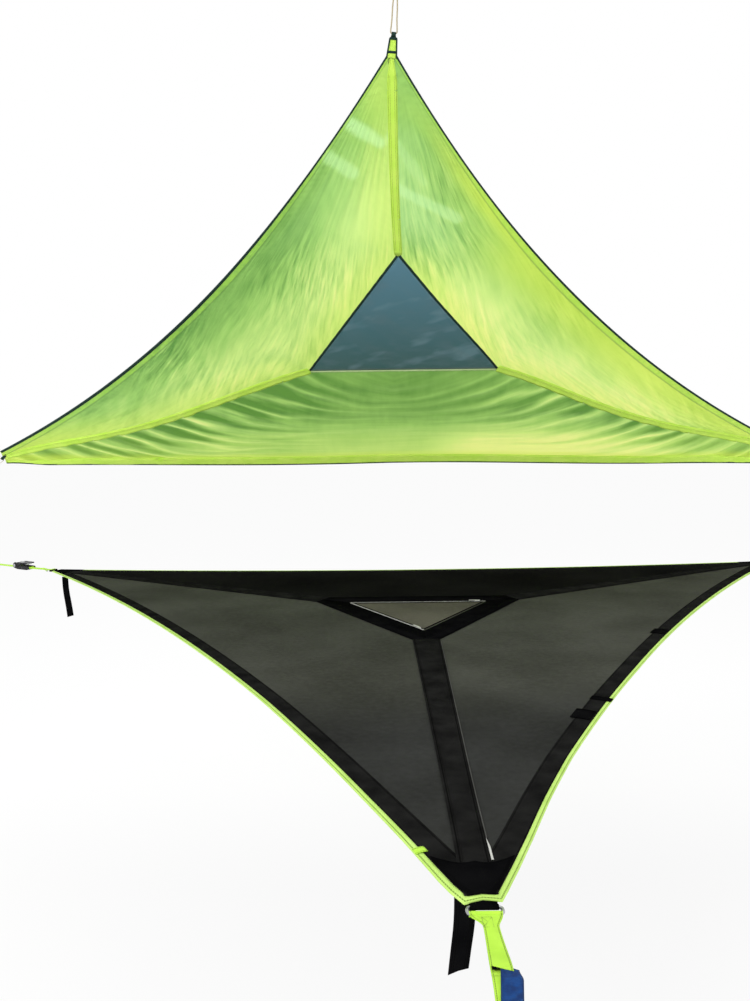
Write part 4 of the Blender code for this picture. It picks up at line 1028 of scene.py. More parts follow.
def make_cords(finish):
    """The doubled cord at the peak, then the two guys."""
    cord = finish["cord"]
    _, eye, _ = peak_loop_axes()
    line = (CANOPY_V + CANOPY_U * PEAK_CORD_LEAN).normalized()
    points, start, across = bight(
        eye, flat_on_canopy(line).cross(CANOPY_UP), line, 0.6 * PEAK_LOOP_WIDTH, PEAK_KNOT_AT,
        PEAK_CORD_DIAMETER, 0.0075,
    )
    second = PEAK_CORD_LENGTH - 2.0 * PEAK_LOOP_RADIUS
    r = PEAK_LOOP_RADIUS
    for s, w in (
        (0.160, -0.0014), (0.170, -0.0024), (second, -0.0030), (second + 0.5 * r, -0.55 * r),
        (second + 1.25 * r, -r), (second + 2.2 * r, -0.62 * r), (second + 2.5 * r, 0.0),
        (second + 2.2 * r, 0.62 * r), (second + 1.25 * r, r), (second + 0.5 * r, 0.55 * r),
        (second, 0.0030), (second - 0.02, 0.0034),
    ):
        points.append(start + line * s + across * w)
    path = smooth_path(points, CORD_SPACING)
    rope = settle(add_rope("peak_cord", path, PEAK_CORD_DIAMETER, cord),
                  "tan_cord", replaced=["canopy_cord_peak"])
    low = tie_knot("peak_knot_low", start + line * PEAK_KNOT_AT, line, 0.0064, cord)
    high = tie_knot("peak_knot_high", start + line * second, line, 0.0068, cord)
    tuple(path[0])
    round(path_length(path), 3)
    for corner in ("left", "right"):
        make_guy(corner, cord)


def make_guy(corner, cord):
    """The cord from a low corner of the canopy to the hook in its tree strap's eye."""
    place, outwards, eye_middle = tie_line(corner)
    _, loop_eye, _ = loop_axes(place, outwards)
    line = (eye_middle - loop_eye).normalized()
    points, start, _ = bight(loop_eye, flat_on_canopy(outwards).cross(CANOPY_UP), line)

    tether = corner_matrix(CORNERS[corner])
    strap_out = (tether.to_3x3() @ Vector((1.0, 0.0, 0.0))).normalized()
    back = line * -1.0
    in_side_view = (strap_out * back.dot(strap_out) + UP * back.z).normalized()
    seat = EYE_HEIGHT / 2.0 - HOOK_WIRE / 2.0 - GAP
    bottom = eye_middle + in_side_view * seat
    up = (start - bottom).normalized()
    end = bottom + up * (HOOK_HEIGHT - 0.010)
    path = smooth_path(points, CORD_SPACING)
    steps = max(2, round((end - path[-1]).length / CORD_SPACING))
    path += straight_run(path[-1], end, steps)[1:]
    rope = settle(add_rope(f"guy_cord_{corner}", path, CORD_DIAMETER, cord),
                  "tan_cord", replaced=[f"canopy_cord_{corner}"])
    knot = tie_knot(f"guy_knot_{corner}", start + line * KNOT_AT, line, 0.0046, cord)
    tuple(path[0])
    round(path_length(path), 3)
    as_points(path)


# Canopy. Each panel is ruled between two lines of (u, v, drop), as in the CAD model

WINDOW_TOP = (WINDOW_SHIFT, WINDOW_HIGH)
WINDOW_LEFT = (WINDOW_SHIFT - WINDOW_WIDTH / 2.0, WINDOW_LOW)
WINDOW_RIGHT = (WINDOW_SHIFT + WINDOW_WIDTH / 2.0, WINDOW_LOW)
APEX_STEPS = 6              # rulings of the CAD panels along each stretch
WINDOW_STEPS = 5
SEAM_STEPS = 13
BASE_STEPS = 10
FINE = 12                   # rulings here for each one there
ROWS = 88


def seam_points(side):
    """The seam from the foot of the window to a low corner, hanging a little."""
    start = WINDOW_LEFT if side < 0 else WINDOW_RIGHT
    end = (side * CUT_U, CUT_MIDDLE)
    return [
        (start[0] + (end[0] - start[0]) * t, start[1] + (end[1] - start[1]) * t,
         SEAM_DROP * math.sin(math.pi * t) ** 2)
        for t in shares(SEAM_STEPS * FINE)
    ]


def inner_line(side):
    """Seam from the peak, side of the window, seam to the corner."""
    corner = WINDOW_LEFT if side < 0 else WINDOW_RIGHT
    line = straight((0.0, PEAK_V, 0.0), (*WINDOW_TOP, 0.0), APEX_STEPS * FINE)
    line += straight((*WINDOW_TOP, 0.0), (*corner, 0.0), WINDOW_STEPS * FINE)[1:]
    return line + seam_points(side)[1:]


def outer_line(side, steps):
    """The bowed edge from the peak to a low corner."""
    edge = (side_edge(t) for t in evenly(PEAK_T, CORNER_T, steps))
    return [(u * -side, v, 0.0) for u, v in edge]


def lower_line():
    """Both seams and the foot of the window, from the left corner to the right one."""
    line = seam_points(-1.0)[::-1]
    line += straight((*WINDOW_LEFT, 0.0), (*WINDOW_RIGHT, 0.0), BASE_STEPS * FINE)[1:]
    return line + seam_points(1.0)[1:]


# painted highlights: glints of light along these streaks
PAINTED_GLINTS = (                 # (u, v) of both ends of the pale streaks near the peak, strength
    ((-0.16, 2.01), (-0.03, 1.92), 0.9), ((-0.245, 1.874), (-0.134, 1.795), 0.7),
    ((0.014, 1.94), (0.15, 1.743), 0.7), ((0.05, 1.717), (0.285, 1.579), 0.9),
)
CORNER_FOLDS = (2.2, 0.02)  # (u, v) that the creases of a low corner fan from


def distance_to_run(place, start, end):
    """Distance of a place on the canopy from the straight run between two others."""
    run = (end[0] - start[0], end[1] - start[1])
    away = (place[0] - start[0], place[1] - start[1])
    share = (away[0] * run[0] + away[1] * run[1]) / (run[0] ** 2 + run[1] ** 2)
    share = min(max(share, 0.0), 1.0)
    return math.hypot(away[0] - share * run[0], away[1] - share * run[1])


def noise_at(x, y, seed):
    """Even noise, the same each run."""
    return noise.noise(Vector((x, y, seed)))


class Panel:
    """A panel of the canopy: places, relief and tones of painted light and shade by column and
    share from its seam.
    """

    def __init__(self, side, inner, outer):
        self.side = side
        self.inner = inner
        self.outer = outer
        self.starts = [canopy_place(*p) for p in inner]
        self.ends = [canopy_place(*p) for p in outer]
        self.walked = walked_along(self.starts)
        self.reach = [(b - a).length for a, b in zip(self.starts, self.ends)]
        self.lean = self.angles(self.starts)
        self.slant = self.angles(self.ends)

    def angles(self, line):
        """The sine of the angle between each ruling and the line it starts or ends on."""
        sines = []
        for i in range(len(line)):
            before, after = neighbours(line, i)
            ruling = self.ends[i] - self.starts[i]
            sines.append(max(math.sin(ruling.angle(after - before, 1.0)), 0.2))
        return sines

    def uv(self, i, k):
        """(u, v) at column i and share k of the way from the inner to the outer line."""
        a, b = self.inner[i], self.outer[i]
        return a[0] + (b[0] - a[0]) * k, a[1] + (b[1] - a[1]) * k

    def distances(self, i, k):
        """How far the point is from the inner and the outer line."""
        return self.reach[i] * self.lean[i] * k, self.reach[i] * self.slant[i] * (1.0 - k)

    def point(self, i, k, offset=0.0):
        """The place of the cloth's middle, raised by its relief and the offset."""
        flat = self.starts[i].lerp(self.ends[i], k)
        return flat + CANOPY_UP * (self.relief(i, k) + offset)

    def beside(self, columns, distance, offset):
        """A line of points this far from the inner line."""
        return [
            self.point(i, min(distance / (self.reach[i] * self.lean[i]), 0.3), offset)
            for i in columns
        ]


class SidePanel(Panel):
    """The left or the right panel, from the middle seam, window and low seam to its edge."""

    def from_peak(self, i, k):
        """Distance and direction from the peak, the direction a little unsteady."""
        u, v = self.uv(i, k)
        far = math.hypot(u, CANOPY_SLOPE - v)
        turn = math.atan2(u, CANOPY_SLOPE - v)
        return far, turn + 0.03 * noise_at(turn * 6.0, far * 2.5, 1.3)

    def creases(self, i, k):
        """Wide creases: a fan from the peak and another from the corner."""
        u, v = self.uv(i, k)
        near, _ = self.distances(i, k)
        peak, fan = self.from_peak(i, k)
        zone = smoothstep(peak, 0.05, 0.5) * (0.35 + 0.65 * smoothstep(near, 0.75, 0.10))
        lines = noise_at(fan * 40.0, peak * 2.4, 3.1) * zone * smoothstep(near, 0.0, 0.05)
        across, above = self.side * CORNER_FOLDS[0] - u, v - CORNER_FOLDS[1]
        corner = math.hypot(across, above)
        turn = math.atan2(above, abs(across))
        wide = noise_at(turn * 46.0, corner * 1.2, 11.3 + self.side)
        return lines + wide * smoothstep(corner, 0.1, 0.4) * smoothstep(corner, 1.6, 0.7)

    def crease_numbers(self, i, k):
        """Numbers for the finish's fine creases: the fan, and long ones beside the seam."""
        u, v = self.uv(i, k)
        near, _ = self.distances(i, k)
        peak, fan = self.from_peak(i, k)
        strength = smoothstep(peak, 0.15, 0.8) * (0.40 + 0.60 * smoothstep(near, 0.80, 0.10))
        strength *= smoothstep(near, 0.0, 0.04) * (0.75 + 1.1 * noise_at(u * 2.6, v * 2.6, 4.4))
        along = self.walked[i]
        beside = math.exp(-near / 0.16) * smoothstep(along, 1.2, 1.7)
        if self.side < 0.0:
            beside *= 0.4
        slope = near + 0.25 * along
        return ((fan * 85.0, peak * 6.5, max(strength * (1.0 - 0.6 * beside), 0.0)),
                (slope * 75.0, along * 2.2, beside))

    def puckers(self, i, k):
        """Short waves where the cloth is gathered by its seam and its bound edge."""
        near, far = self.distances(i, k)
        along = self.walked[i]
        slant = along + 0.55 * near + 0.02 * noise_at(along * 9.0, near * 6.0, 5.5)
        waves = math.exp(-near / 0.05) * math.sin(2.0 * math.pi * slant / 0.047)
        edge = along + 0.8 * far + 0.03 * noise_at(along * 7.0, 0.0, 9.9)
        return waves + math.exp(-far / 0.045) * math.sin(2.0 * math.pi * edge / 0.039)

    def relief(self, i, k):
        near, far = self.distances(i, k)
        hold = smoothstep(near, 0.0, 0.014) * smoothstep(far, 0.012, 0.030)
        billow = -0.014 * math.sin(math.pi * k) * smoothstep(self.reach[i], 0.1, 0.9)
        height = 0.0030 * self.creases(i, k) + 0.0018 * self.puckers(i, k)
        return hold * height + billow * smoothstep(near, 0.0, 0.05)

    def tone(self, i, k):
        """(pale, warm) at a point, each from 0 to 1: pale holds painted light and shade, and warm
        below zero a painted reflection.
        """
        u, v = self.uv(i, k)
        near, far = self.distances(i, k)
        pale = 0.06 * noise_at(u * 3.0, v * 3.0, 2.0)
        # painted shade and light along the creases and puckers
        pale += 0.17 * self.creases(i, k) + 0.05 * self.puckers(i, k)
        # painted light and shade: paler beside the seams, darker towards the outer edges, and on
        # the right panel near the peak and far out
        if self.side < 0.0:
            pale += 0.29 + 0.42 * smoothstep(far, 0.06, 0.32)
            pale += 0.26 * smoothstep(near, 0.45, 0.05)
            pale += 0.14 * smoothstep(v, 0.45, 0.1)
            warm = 0.30 * smoothstep(near, 0.20, 0.02) + 0.30 * smoothstep(v, 0.5, 0.1)
        else:
            pale += 0.56 + 0.08 * smoothstep(far, 0.05, 0.3)
            pale -= 0.12 * smoothstep(v, 1.4, 2.0)
            pale += 0.56 * smoothstep(near, 0.50, 0.05) * smoothstep(v, 1.5, 1.1)
            warm = 0.65 * smoothstep(far, 0.28, 0.03) * smoothstep(v, 2.2, 1.6)
            beside = smoothstep(near, 0.16, 0.02) * smoothstep(v, 1.6, 1.2)
            warm = max(warm, 0.30 * beside)
            pale -= 0.48 * smoothstep(u, 1.30, 1.75)
        # painted reflection: pale mint near the peak, and painted glints along the streaks, which
        # also make the cloth paler
        painted_reflection = (0.08 if self.side < 0.0 else 0.28) * smoothstep(v, 1.3, 1.6)
        painted_reflection *= smoothstep(v, 2.1, 1.9) * smoothstep(far, 0.03, 0.1)
        for start, end, strength in PAINTED_GLINTS:
            off = distance_to_run((u, v), start, end)
            off += 0.012 * noise_at(u * 9.0, v * 9.0, 6.1)
            glint = strength * smoothstep(off, 0.042, 0.012)
            painted_reflection = max(painted_reflection, 0.55 * glint)
            pale += 0.16 * glint
        return pale, warm * (1.0 - painted_reflection) - painted_reflection

    def edge(self, i, k):
        """How far in from the bound edge, stretched near the peak, where the hem is narrow."""
        peak, _ = self.from_peak(i, k)
        return self.distances(i, k)[1] / (0.35 + 0.65 * smoothstep(peak, 0.2, 1.3))


def fold_depth(x, y):
    """Which fold of the lower panel passes a point, by how deep it lies in the middle.

    x is the share of the way to the corner, y the way down in shares of the middle's.
    """
    depth = y
    for _ in range(8):
        climb = max(0.0, (x - 0.75 * depth + 0.25) / 0.25)
        depth = 0.5 * depth + 0.5 * (y + 0.27 * min(climb, 1.6) ** 2)
    return depth


class LowerPanel(Panel):
    """The panel from the two low seams and the window's foot down to the hem."""

    def place(self, i, k):
        """(u, v), then the shares of the way to the corner and from the window to the hem."""
        u, v = self.uv(i, k)
        return u, v, abs(u - 0.02) / 2.1, (WINDOW_LOW - v) / 0.64

    def folds(self, i, k):
        """(phase, strength) of the folds that fan from both seams."""
        u, _, x, y = self.place(i, k)
        depth = fold_depth(x, y)
        side = 4.0 if u < 0.0 else 21.0
        wander = noise_at(x * 4.0, depth * 7.0, side) + 0.7 * noise_at(x * 9.0, depth * 19.0, side)
        phase = 2.0 * math.pi * (depth / 0.078 + 0.50 * wander)
        from_seam = max(0.0, 0.75 * depth - x)
        strength = math.exp(-(from_seam / 0.25) ** 2) * smoothstep(depth, 0.15, 0.35)
        strength *= 0.75 + 0.9 * noise_at(x * 7.0, depth * 16.0, side + 3.0)
        strength *= 0.40 + 0.60 * smoothstep(x, 0.12, 0.42)
        return phase, max(strength, 0.0) * (1.0 if u < 0.0 else 0.75)

    def crease_numbers(self, i, k):
        """Numbers for the finish's fine creases, which lie along the folds."""
        u, _, x, y = self.place(i, k)
        near, _ = self.distances(i, k)
        strength = (0.25 + 0.55 * smoothstep(x, 0.1, 0.4)) * smoothstep(near, 0.0, 0.03)
        return (fold_depth(x, y) * 36.0, u * 3.0 + 40.0, strength), (0.0, 0.0, 0.0)

    def edge(self, _i, _k):
        """As for a hem far away: this panel's own is a separate band."""
        return 1.0

    def relief(self, i, k):
        u, v = self.uv(i, k)
        near, far = self.distances(i, k)
        hold = smoothstep(near, 0.0, 0.03) * smoothstep(far, 0.0, 0.05)
        phase, strength = self.folds(i, k)
        height = 0.0060 * strength * (math.cos(phase) + 0.25 * math.cos(2.0 * phase))
        height += 0.0030 * noise_at(u * 2.5, v * 17.0, 8.0)
        along = self.walked[i]
        pucker = 0.0016 * math.exp(-near / 0.03) * math.sin(2.0 * math.pi * along / 0.034)
        pucker *= smoothstep(near, 0.0, 0.012)
        return hold * height + pucker

    def tone(self, i, k):
        u, v, x, y = self.place(i, k)
        near, far = self.distances(i, k)
        phase, strength = self.folds(i, k)
        # painted light and shade: darker below the window, paler towards the hem and to the right
        pale = 0.20 + 0.62 * smoothstep(y, 0.30, 0.92) * (1.0 - 0.35 * min(x, 1.0))
        pale += 0.18 * smoothstep(u, 0.1, 0.9) + 0.12 * noise_at(u * 3.0, v * 9.0, 6.0)
        # painted shade on one side of each fold, painted light on the other
        pale -= 0.62 * strength * max(0.0, math.sin(phase))
        pale += 0.78 * strength * max(0.0, -math.sin(phase)) ** 2
        # a painted pool of light low in the middle, and painted shade beside the right seam
        bright = smoothstep(u, 0.1, 0.5) * smoothstep(u, 1.7, 1.1)
        pale += 0.55 * smoothstep(y, 0.50, 0.85) * bright
        pale -= 0.32 * smoothstep(near, 0.22, 0.03) * smoothstep(u, 0.7, 1.1)
        warm = 0.08 + 0.45 * smoothstep(far, 0.110, 0.060) + 0.14 * smoothstep(y, 0.5, 0.9)
        return pale, warm


def row_shares(count):
    """Shares from 0 to 1, closer together at both ends."""
    return [0.5 - 0.5 * math.cos(math.pi * i / count) * (0.55 + 0.45 * abs(2.0 * i / count - 1.0))
            for i in range(count + 1)]


def make_panels():
    """The left, right and lower panel; the lower one's hem hangs slack, as in the picture."""
    panels = {}
    for name, side in (("left", -1.0), ("right", 1.0)):
        inner = inner_line(side)
        panels[name] = SidePanel(side, inner, outer_line(side, len(inner) - 1))
    upper = lower_line()
    hem = []
    for u, _, _ in upper:
        v, drop = hem_point(u)
        slack = 0.008 + 0.024 * smoothstep(u, 0.1, 1.5)
        slack += 0.008 * math.sin(math.pi * min(max(-u / CUT_U, 0.0), 1.0))
        slack *= smoothstep(CUT_U - abs(u), 0.0, 0.25 if u < 0.0 else 0.06)
        hem.append((u, v - slack, drop + slack))
    panels["lower"] = LowerPanel(0.0, upper, hem)
    return panels


def make_canopy_sheet(panels, finish):
    """The three lime panels as one continuous sheet."""
    vertices, faces, tones, numbers, edge = [], [], [], [], []
    rows = row_shares(ROWS)
    for panel in panels.values():
        columns = range(len(panel.inner))
        faces += grid_faces(len(rows), len(columns), len(vertices))
        for k in rows:
            for i in columns:
                vertices.append(panel.point(i, k))
                tones.append(panel.tone(i, k))
                numbers.append(panel.crease_numbers(i, k))
                edge.append(panel.edge(i, k))
    sheet = add_mesh("canopy_sheet", vertices, faces, finish["canopy"])
    # pale and warm carry the painted light and shade and the painted reflection
    for n, name in enumerate(("pale", "warm")):
        paint(sheet, name, [values[n] for values in tones])
    for n, name in enumerate(("fan", "long")):
        paint_vectors(sheet, name, [values[n] for values in numbers])
    paint(sheet, "edge", edge)
    merge_points(sheet)
    smooth(sheet)
    thicken(sheet, TAPE)
    settle(sheet, "lime_nylon",
           replaced=["canopy_panel_left", "canopy_panel_right", "canopy_panel_lower"])
    outline = [panels["left"].outer, panels["lower"].outer, panels["right"].outer[::-1]]
    window = 0.5 * WINDOW_WIDTH * (WINDOW_HIGH - WINDOW_LOW)
    area = outline_area([p for line in outline for p in line]) - window
    return sheet, round(area, 3)


def outline_area(points):
    """Area inside a closed line of points, by their first two numbers."""
    total = 0.0
    for a, b in zip(points, points[1:] + points[:1]):
        total += a[0] * b[1] - b[0] * a[1]
    return abs(total) / 2.0


def window_place(a, b, c):
    """A point of the window cloth, by its shares of the three corners."""
    hold = smoothstep(min(a, b, c), 0.0, 0.06)
    u, v = (a * top + b * left + c * right
            for top, left, right in zip(WINDOW_TOP, WINDOW_LEFT, WINDOW_RIGHT))
    height = 0.0035 * noise_at((u + v) * 9.0, (u - v) * 2.2, 1.0)
    height += 0.0020 * noise_at((u + v) * 26.0, (u - v) * 5.0, 2.0)
    return canopy_place(u, v) + CANOPY_UP * (hold * height)


def make_window(finish):
    window = add_triangle("window_sheet", 48, window_place, finish["window"], TAPE)
    return settle(window, "slate_nylon", replaced=["canopy_window"])


def seam_band(name, upper, lower, finish):
    """A lime band under a seam, upper and lower each a panel, its columns and a width."""
    panel, columns, width = upper
    lines = [panel.beside(columns, width * share, UNDER_TAPE) for share in (1.0, 0.5, 0.0)]
    panel, columns, width = lower
    lines += [panel.beside(columns, width * share, UNDER_TAPE) for share in (0.5, 1.0)]
    return sew(f"canopy_tape_{name}", lines, finish["canopy_band"], TAPE, "lime_webbing",
               [f"canopy_seam_{name}"])


def make_seam_bands(panels, finish):
    """Three lime bands that follow the cloth, the low ones wider on the side panels."""
    half = CANOPY_SEAM_WIDTH / 2.0
    first = (APEX_STEPS + WINDOW_STEPS) * FINE
    count = SEAM_STEPS * FINE
    steps = range(0, count - 1, 2)
    last = len(panels["lower"].inner) - 1
    bands = []
    for name in ("left", "right"):
        above = [first + i for i in steps]
        below = [count - i if name == "left" else last - count + i for i in steps]
        bands.append(seam_band(name, (panels[name], above, 1.5 * half),
                               (panels["lower"], below, half), finish))
    columns = range(0, APEX_STEPS * FINE + 1, 2)
    bands.append(seam_band("peak", (panels["left"], columns, half),
                           (panels["right"], columns, half), finish))
    return bands


def edge_binding(name, line, inwards, width, finish, replaced=()):
    """Binding folded round an edge of the cloth, from its under side to its upper side."""
    offset = CLOTH / 2.0 + 0.0010
    profile = ((width, -offset), (width / 2.0, -offset - 0.0003), (0.0, -offset),
               (-0.0012, 0.0), (0.0, offset), (width / 2.0, offset + 0.0003), (width, offset))
    lines = [
        [place + into * distance + CANOPY_UP * height for place, into in zip(line, inwards)]
        for distance, height in profile
    ]
    return sew(name, lines, finish["piping"], THIN, "dark_binding", replaced,
               widths=walked_along(profile))


def make_canopy_edges(panels, finish):
    """Dark binding along the bowed edges and the hem, and the lime band above the hem."""
    places, inwards = [], []
    for name in ("left", "right"):
        panel = panels[name]
        columns = range(0, len(panel.inner), 3)
        line = [panel.ends[i] for i in columns]
        into = []
        for n, i in enumerate(columns):
            before, after = neighbours(line, n)
            ahead = (after - before).normalized()
            inward = panel.starts[i] - panel.ends[i]
            inward -= ahead * inward.dot(ahead)
            from_peak = (panel.ends[i] - panel.ends[0]).length
            thin = 0.40 + (0.60 if name == "left" else 0.25) * smoothstep(from_peak, 0.3, 1.6)
            into.append(inward.normalized() * thin)
        if name == "left":
            line.reverse()
            into.reverse()
        places += line
        inwards += into
    piping = edge_binding("canopy_piping_tape", places, inwards, CANOPY_BINDING, finish,
                          ["canopy_piping"])
    lower = panels["lower"]
    columns = range(0, len(lower.inner), 3)
    line = [lower.ends[i] for i in columns]
    into = [(lower.starts[i] - lower.ends[i]).normalized() for i in columns]
    cord = edge_binding("hem_edge_tape", line, into, HEM_BINDING, finish)

    def hem_place(share, i):
        width = min(1.5 * HEM_WIDTH, 0.3 * lower.reach[i]) * share
        return lower.point(i, 1.0 - width / lower.reach[i], UNDER_HEM)

    hem = sew("hem_band", lay(shares(4), columns, hem_place), finish["canopy_band"], TAPE,
              "lime_webbing", ["canopy_hem"])
    return [piping, cord, hem]


def window_tape(name, panel, first, steps, width, bulge, finish, slot):
    """A raised tape beside a stretch of a panel's inner line."""
    columns = range(first, first + steps * FINE + 1, 2)
    lines = [
        panel.beside(columns, distance, UNDER_PIPING - lift)
        for distance, lift in ((width, 0.0), (width / 2.0, bulge), (0.0, 0.0))
    ]
    return sew(name, lines, finish, TAPE, slot)


def make_window_edges(panels, finish):
    """Dark piping on both sides of the window and a pale turned edge along its foot."""
    pieces = [
        window_tape(f"window_piping_{name}", panels[name], APEX_STEPS * FINE, WINDOW_STEPS,
                    0.011, 0.0014, finish["piping"], "dark_binding")
        for name in ("left", "right")
    ]
    foot = window_tape("window_foot_tape", panels["lower"], SEAM_STEPS * FINE, BASE_STEPS,
                       0.008, 0.0009, finish["turned_edge"], "lime_webbing")
    return pieces + [foot]


def make_loop(name, matrix, reach, width, tail, finish, replaced, under=0.6, gather=1.0):
    """Webbing folded into an eye, sewn on top of the cloth, gathered towards the eye."""
    low = CLOTH / 2.0 + GAP
    middle = low + WEBBING_THICKNESS / 2.0
    radius = CANOPY_LOOP_EYE + WEBBING_THICKNESS / 2.0
    meets = math.degrees(math.asin(middle / radius))
    path = straight((-tail, middle), (reach - radius * 1.2, middle), 10)
    path += arc((reach, 0.0), radius, 180.0 - meets, -180.0 + meets, 20)
    path += straight((reach - radius * 1.3, -middle), (-under * tail, -middle), 8)

    def place(share, p):
        wide = width * (1.0 + (gather - 1.0) * smoothstep(p[0], reach - 0.020, reach))
        return matrix @ Vector((p[0], (share - 0.5) * wide, p[1]))

    return sew(name, lay(shares(4), path, place), finish, WEBBING_THICKNESS, "dark_binding",
               replaced)


def make_canopy_loops(finish):
    """The loop above the peak's neck and the two that the guys are tied to."""
    matrix, _, reach = peak_loop_axes()
    make_loop("peak_loop", matrix, reach, PEAK_LOOP_WIDTH, CANOPY_LOOP_TAIL, finish["piping"],
              ["canopy_loop_peak"], 0.1, 0.65)
    make_neck(matrix, finish)
    for corner in ("left", "right"):
        place, outwards, _ = tie_line(corner)
        matrix, _, reach = loop_axes(place, outwards)
        make_loop(f"corner_tie_{corner}", matrix, reach, CANOPY_LOOP_WIDTH, CANOPY_LOOP_TAIL,
                  finish["piping"], [f"canopy_loop_{corner}"])


def make_neck(matrix, finish):
    """The narrow lime neck above the peak, bound dark along both sides and across."""
    under = -0.0034
    bottom, top = -0.008, PEAK_NECK + 0.002
    xs = evenly(bottom, top, 12)

    def half_width(x):
        return 0.0180 - 0.0055 * (x - bottom) / (top - bottom)

    lines = lay((-1.0, -0.5, 0.0, 0.5, 1.0), xs,
                lambda side, x: matrix @ Vector((x, side * half_width(x), under)))
    sew("peak_neck", lines, finish["canopy_band"], 0.0012, "lime_webbing")
    profile = ((-0.003, -0.0012), (-0.001, -0.0016), (0.001, -0.0008), (0.0015, 0.0006),
               (-0.001, 0.0012))
    tapes = []
    for side in (-1.0, 1.0):
        lines = lay(profile, xs, lambda p, x: matrix @ Vector(
            (x, side * (half_width(x) + p[0]), under + p[1])))
        tapes.append(add_strip(f"neck_side_{side:.0f}", lines, finish["piping"], TAPE))
    for x, wide in ((0.014, 0.0175), (top, 0.0130)):
        path = [(x - 0.0045, under - 0.0012), (x, under - 0.0018), (x + 0.0045, under - 0.0012)]
        tapes.append(add_ribbon(f"neck_bar_{x:.3f}", path, 2.0 * wide, finish["piping"], matrix,
                                TAPE, 3))
    settle(join("peak_neck_binding", tapes), "dark_binding")


def make_canopy_stitches(panels, finish):
    """Two rows of stitches on each seam, seen from under the canopy."""
    half = CANOPY_SEAM_WIDTH / 2.0
    first = (APEX_STEPS + WINDOW_STEPS) * FINE
    lines = []
    for panel in (panels["left"], panels["right"]):
        for distance in (0.45 * half, 0.80 * half):
            for columns in (range(6, APEX_STEPS * FINE, 2), range(first, len(panel.inner) - 4, 2)):
                lines.append(panel.beside(columns, distance, UNDER_STITCHES))
    piece = add_stitches("canopy_seam_stitches", lines, -CANOPY_UP, finish["thread"],
                         *SEAM_STITCH)
    return settle(piece, "lime_webbing")


def make_canopy(finish):
    """The canopy and its two sheets: the lime cloth and the window."""
    panels = make_panels()
    sheet, area = make_canopy_sheet(panels, finish)
    window = make_window(finish)
    bands = make_seam_bands(panels, finish)
    edges = make_canopy_edges(panels, finish)
    edges += make_window_edges(panels, finish)
    stitches = make_canopy_stitches(panels, finish)
    make_canopy_loops(finish)


# Hammock. Drawn for the back edge and turned for the other two

def edge_point(t, inset=0.0):
    """(x, y) on the back edge, at a share of its length and this far in from it."""
    bow = 4.0 * EDGE_BOW * t * (1.0 - t)
    return (SIDE * (t - 0.5), CENTRE_TO_EDGE - bow - inset)


# Place in Y, then how far to the left and to the right edge lies beyond the CAD's
NEAR_EASE = (
    (-0.90, 0.0, 0.0), (-1.17, 0.0, -0.004), (-1.62, -0.007, -0.0090), (-1.84, -0.0107, -0.0043),
    (-2.02, -0.0116, 0.0039), (-2.13, -0.0144, 0.0063), (-2.185, -0.0157, 0.0055),
    (-2.231, -0.001, 0.0010), (-2.30, 0.0, 0.0),
)


def eased(place):
    """Where a point of the flat net hangs near the near corner, fuller than in the CAD."""
    if place.y > NEAR_EASE[0][0]:
        return place
    share = place.x / (0.42 * (CENTRE_TO_CORNER + place.y) + 0.001)
    share = min(max(share, -1.05), 1.05)
    column = 1 if share < 0.0 else 2
    shift = 0.0
    for before, after in zip(NEAR_EASE, NEAR_EASE[1:]):
        if after[0] <= place.y <= before[0]:
            part = (before[0] - place.y) / (before[0] - after[0])
            shift = before[column] + (after[column] - before[column]) * part
    pull = (0.014 if share < 0.0 else 0.006) * abs(share) + 0.002
    return Vector((place.x + shift * abs(share),
                   place.y - pull * smoothstep(-place.y, 2.17, 2.23), place.z))


def ease(pieces):
    """Moves the points of flat pieces to where they hang near the near corner."""
    for piece in pieces:
        for vertex in piece.data.vertices:
            vertex.co = eased(vertex.co)


def direction(angle):
    return Vector((math.cos(math.radians(angle)), math.sin(math.radians(angle)), 0.0))


LEFT_SEAM = direction(150.0)
RIGHT_SEAM = direction(30.0)


def edge_at_cut(along, inset):
    """Where the edge is this far out along the left seam, as a share of its length."""
    return find_root(
        lambda t: Vector((*edge_point(t, inset), 0.0)).dot(LEFT_SEAM) - along, 0.0, 0.4
    )


def edge_run(start, inset, steps=120):
    """The back edge from one share of its length to the same share before its end."""
    return [edge_point(t, inset) for t in evenly(start, 1.0 - start, steps)]


def turned(points, angle, height):
    turn = turn_by(angle)
    return [turn @ Vector((x, y, height)) for x, y in points]


def sector_cuts(angle, beyond):
    """Planes along the seams on both sides of a sector, and across its two corners."""
    cuts = []
    for side in (-1.0, 1.0):
        ahead = direction(angle + 90.0 + 60.0 * side)
        cuts.append((Vector(), direction(angle + 90.0 + 150.0 * side)))
        cuts.append((ahead * beyond, ahead))
    return cuts


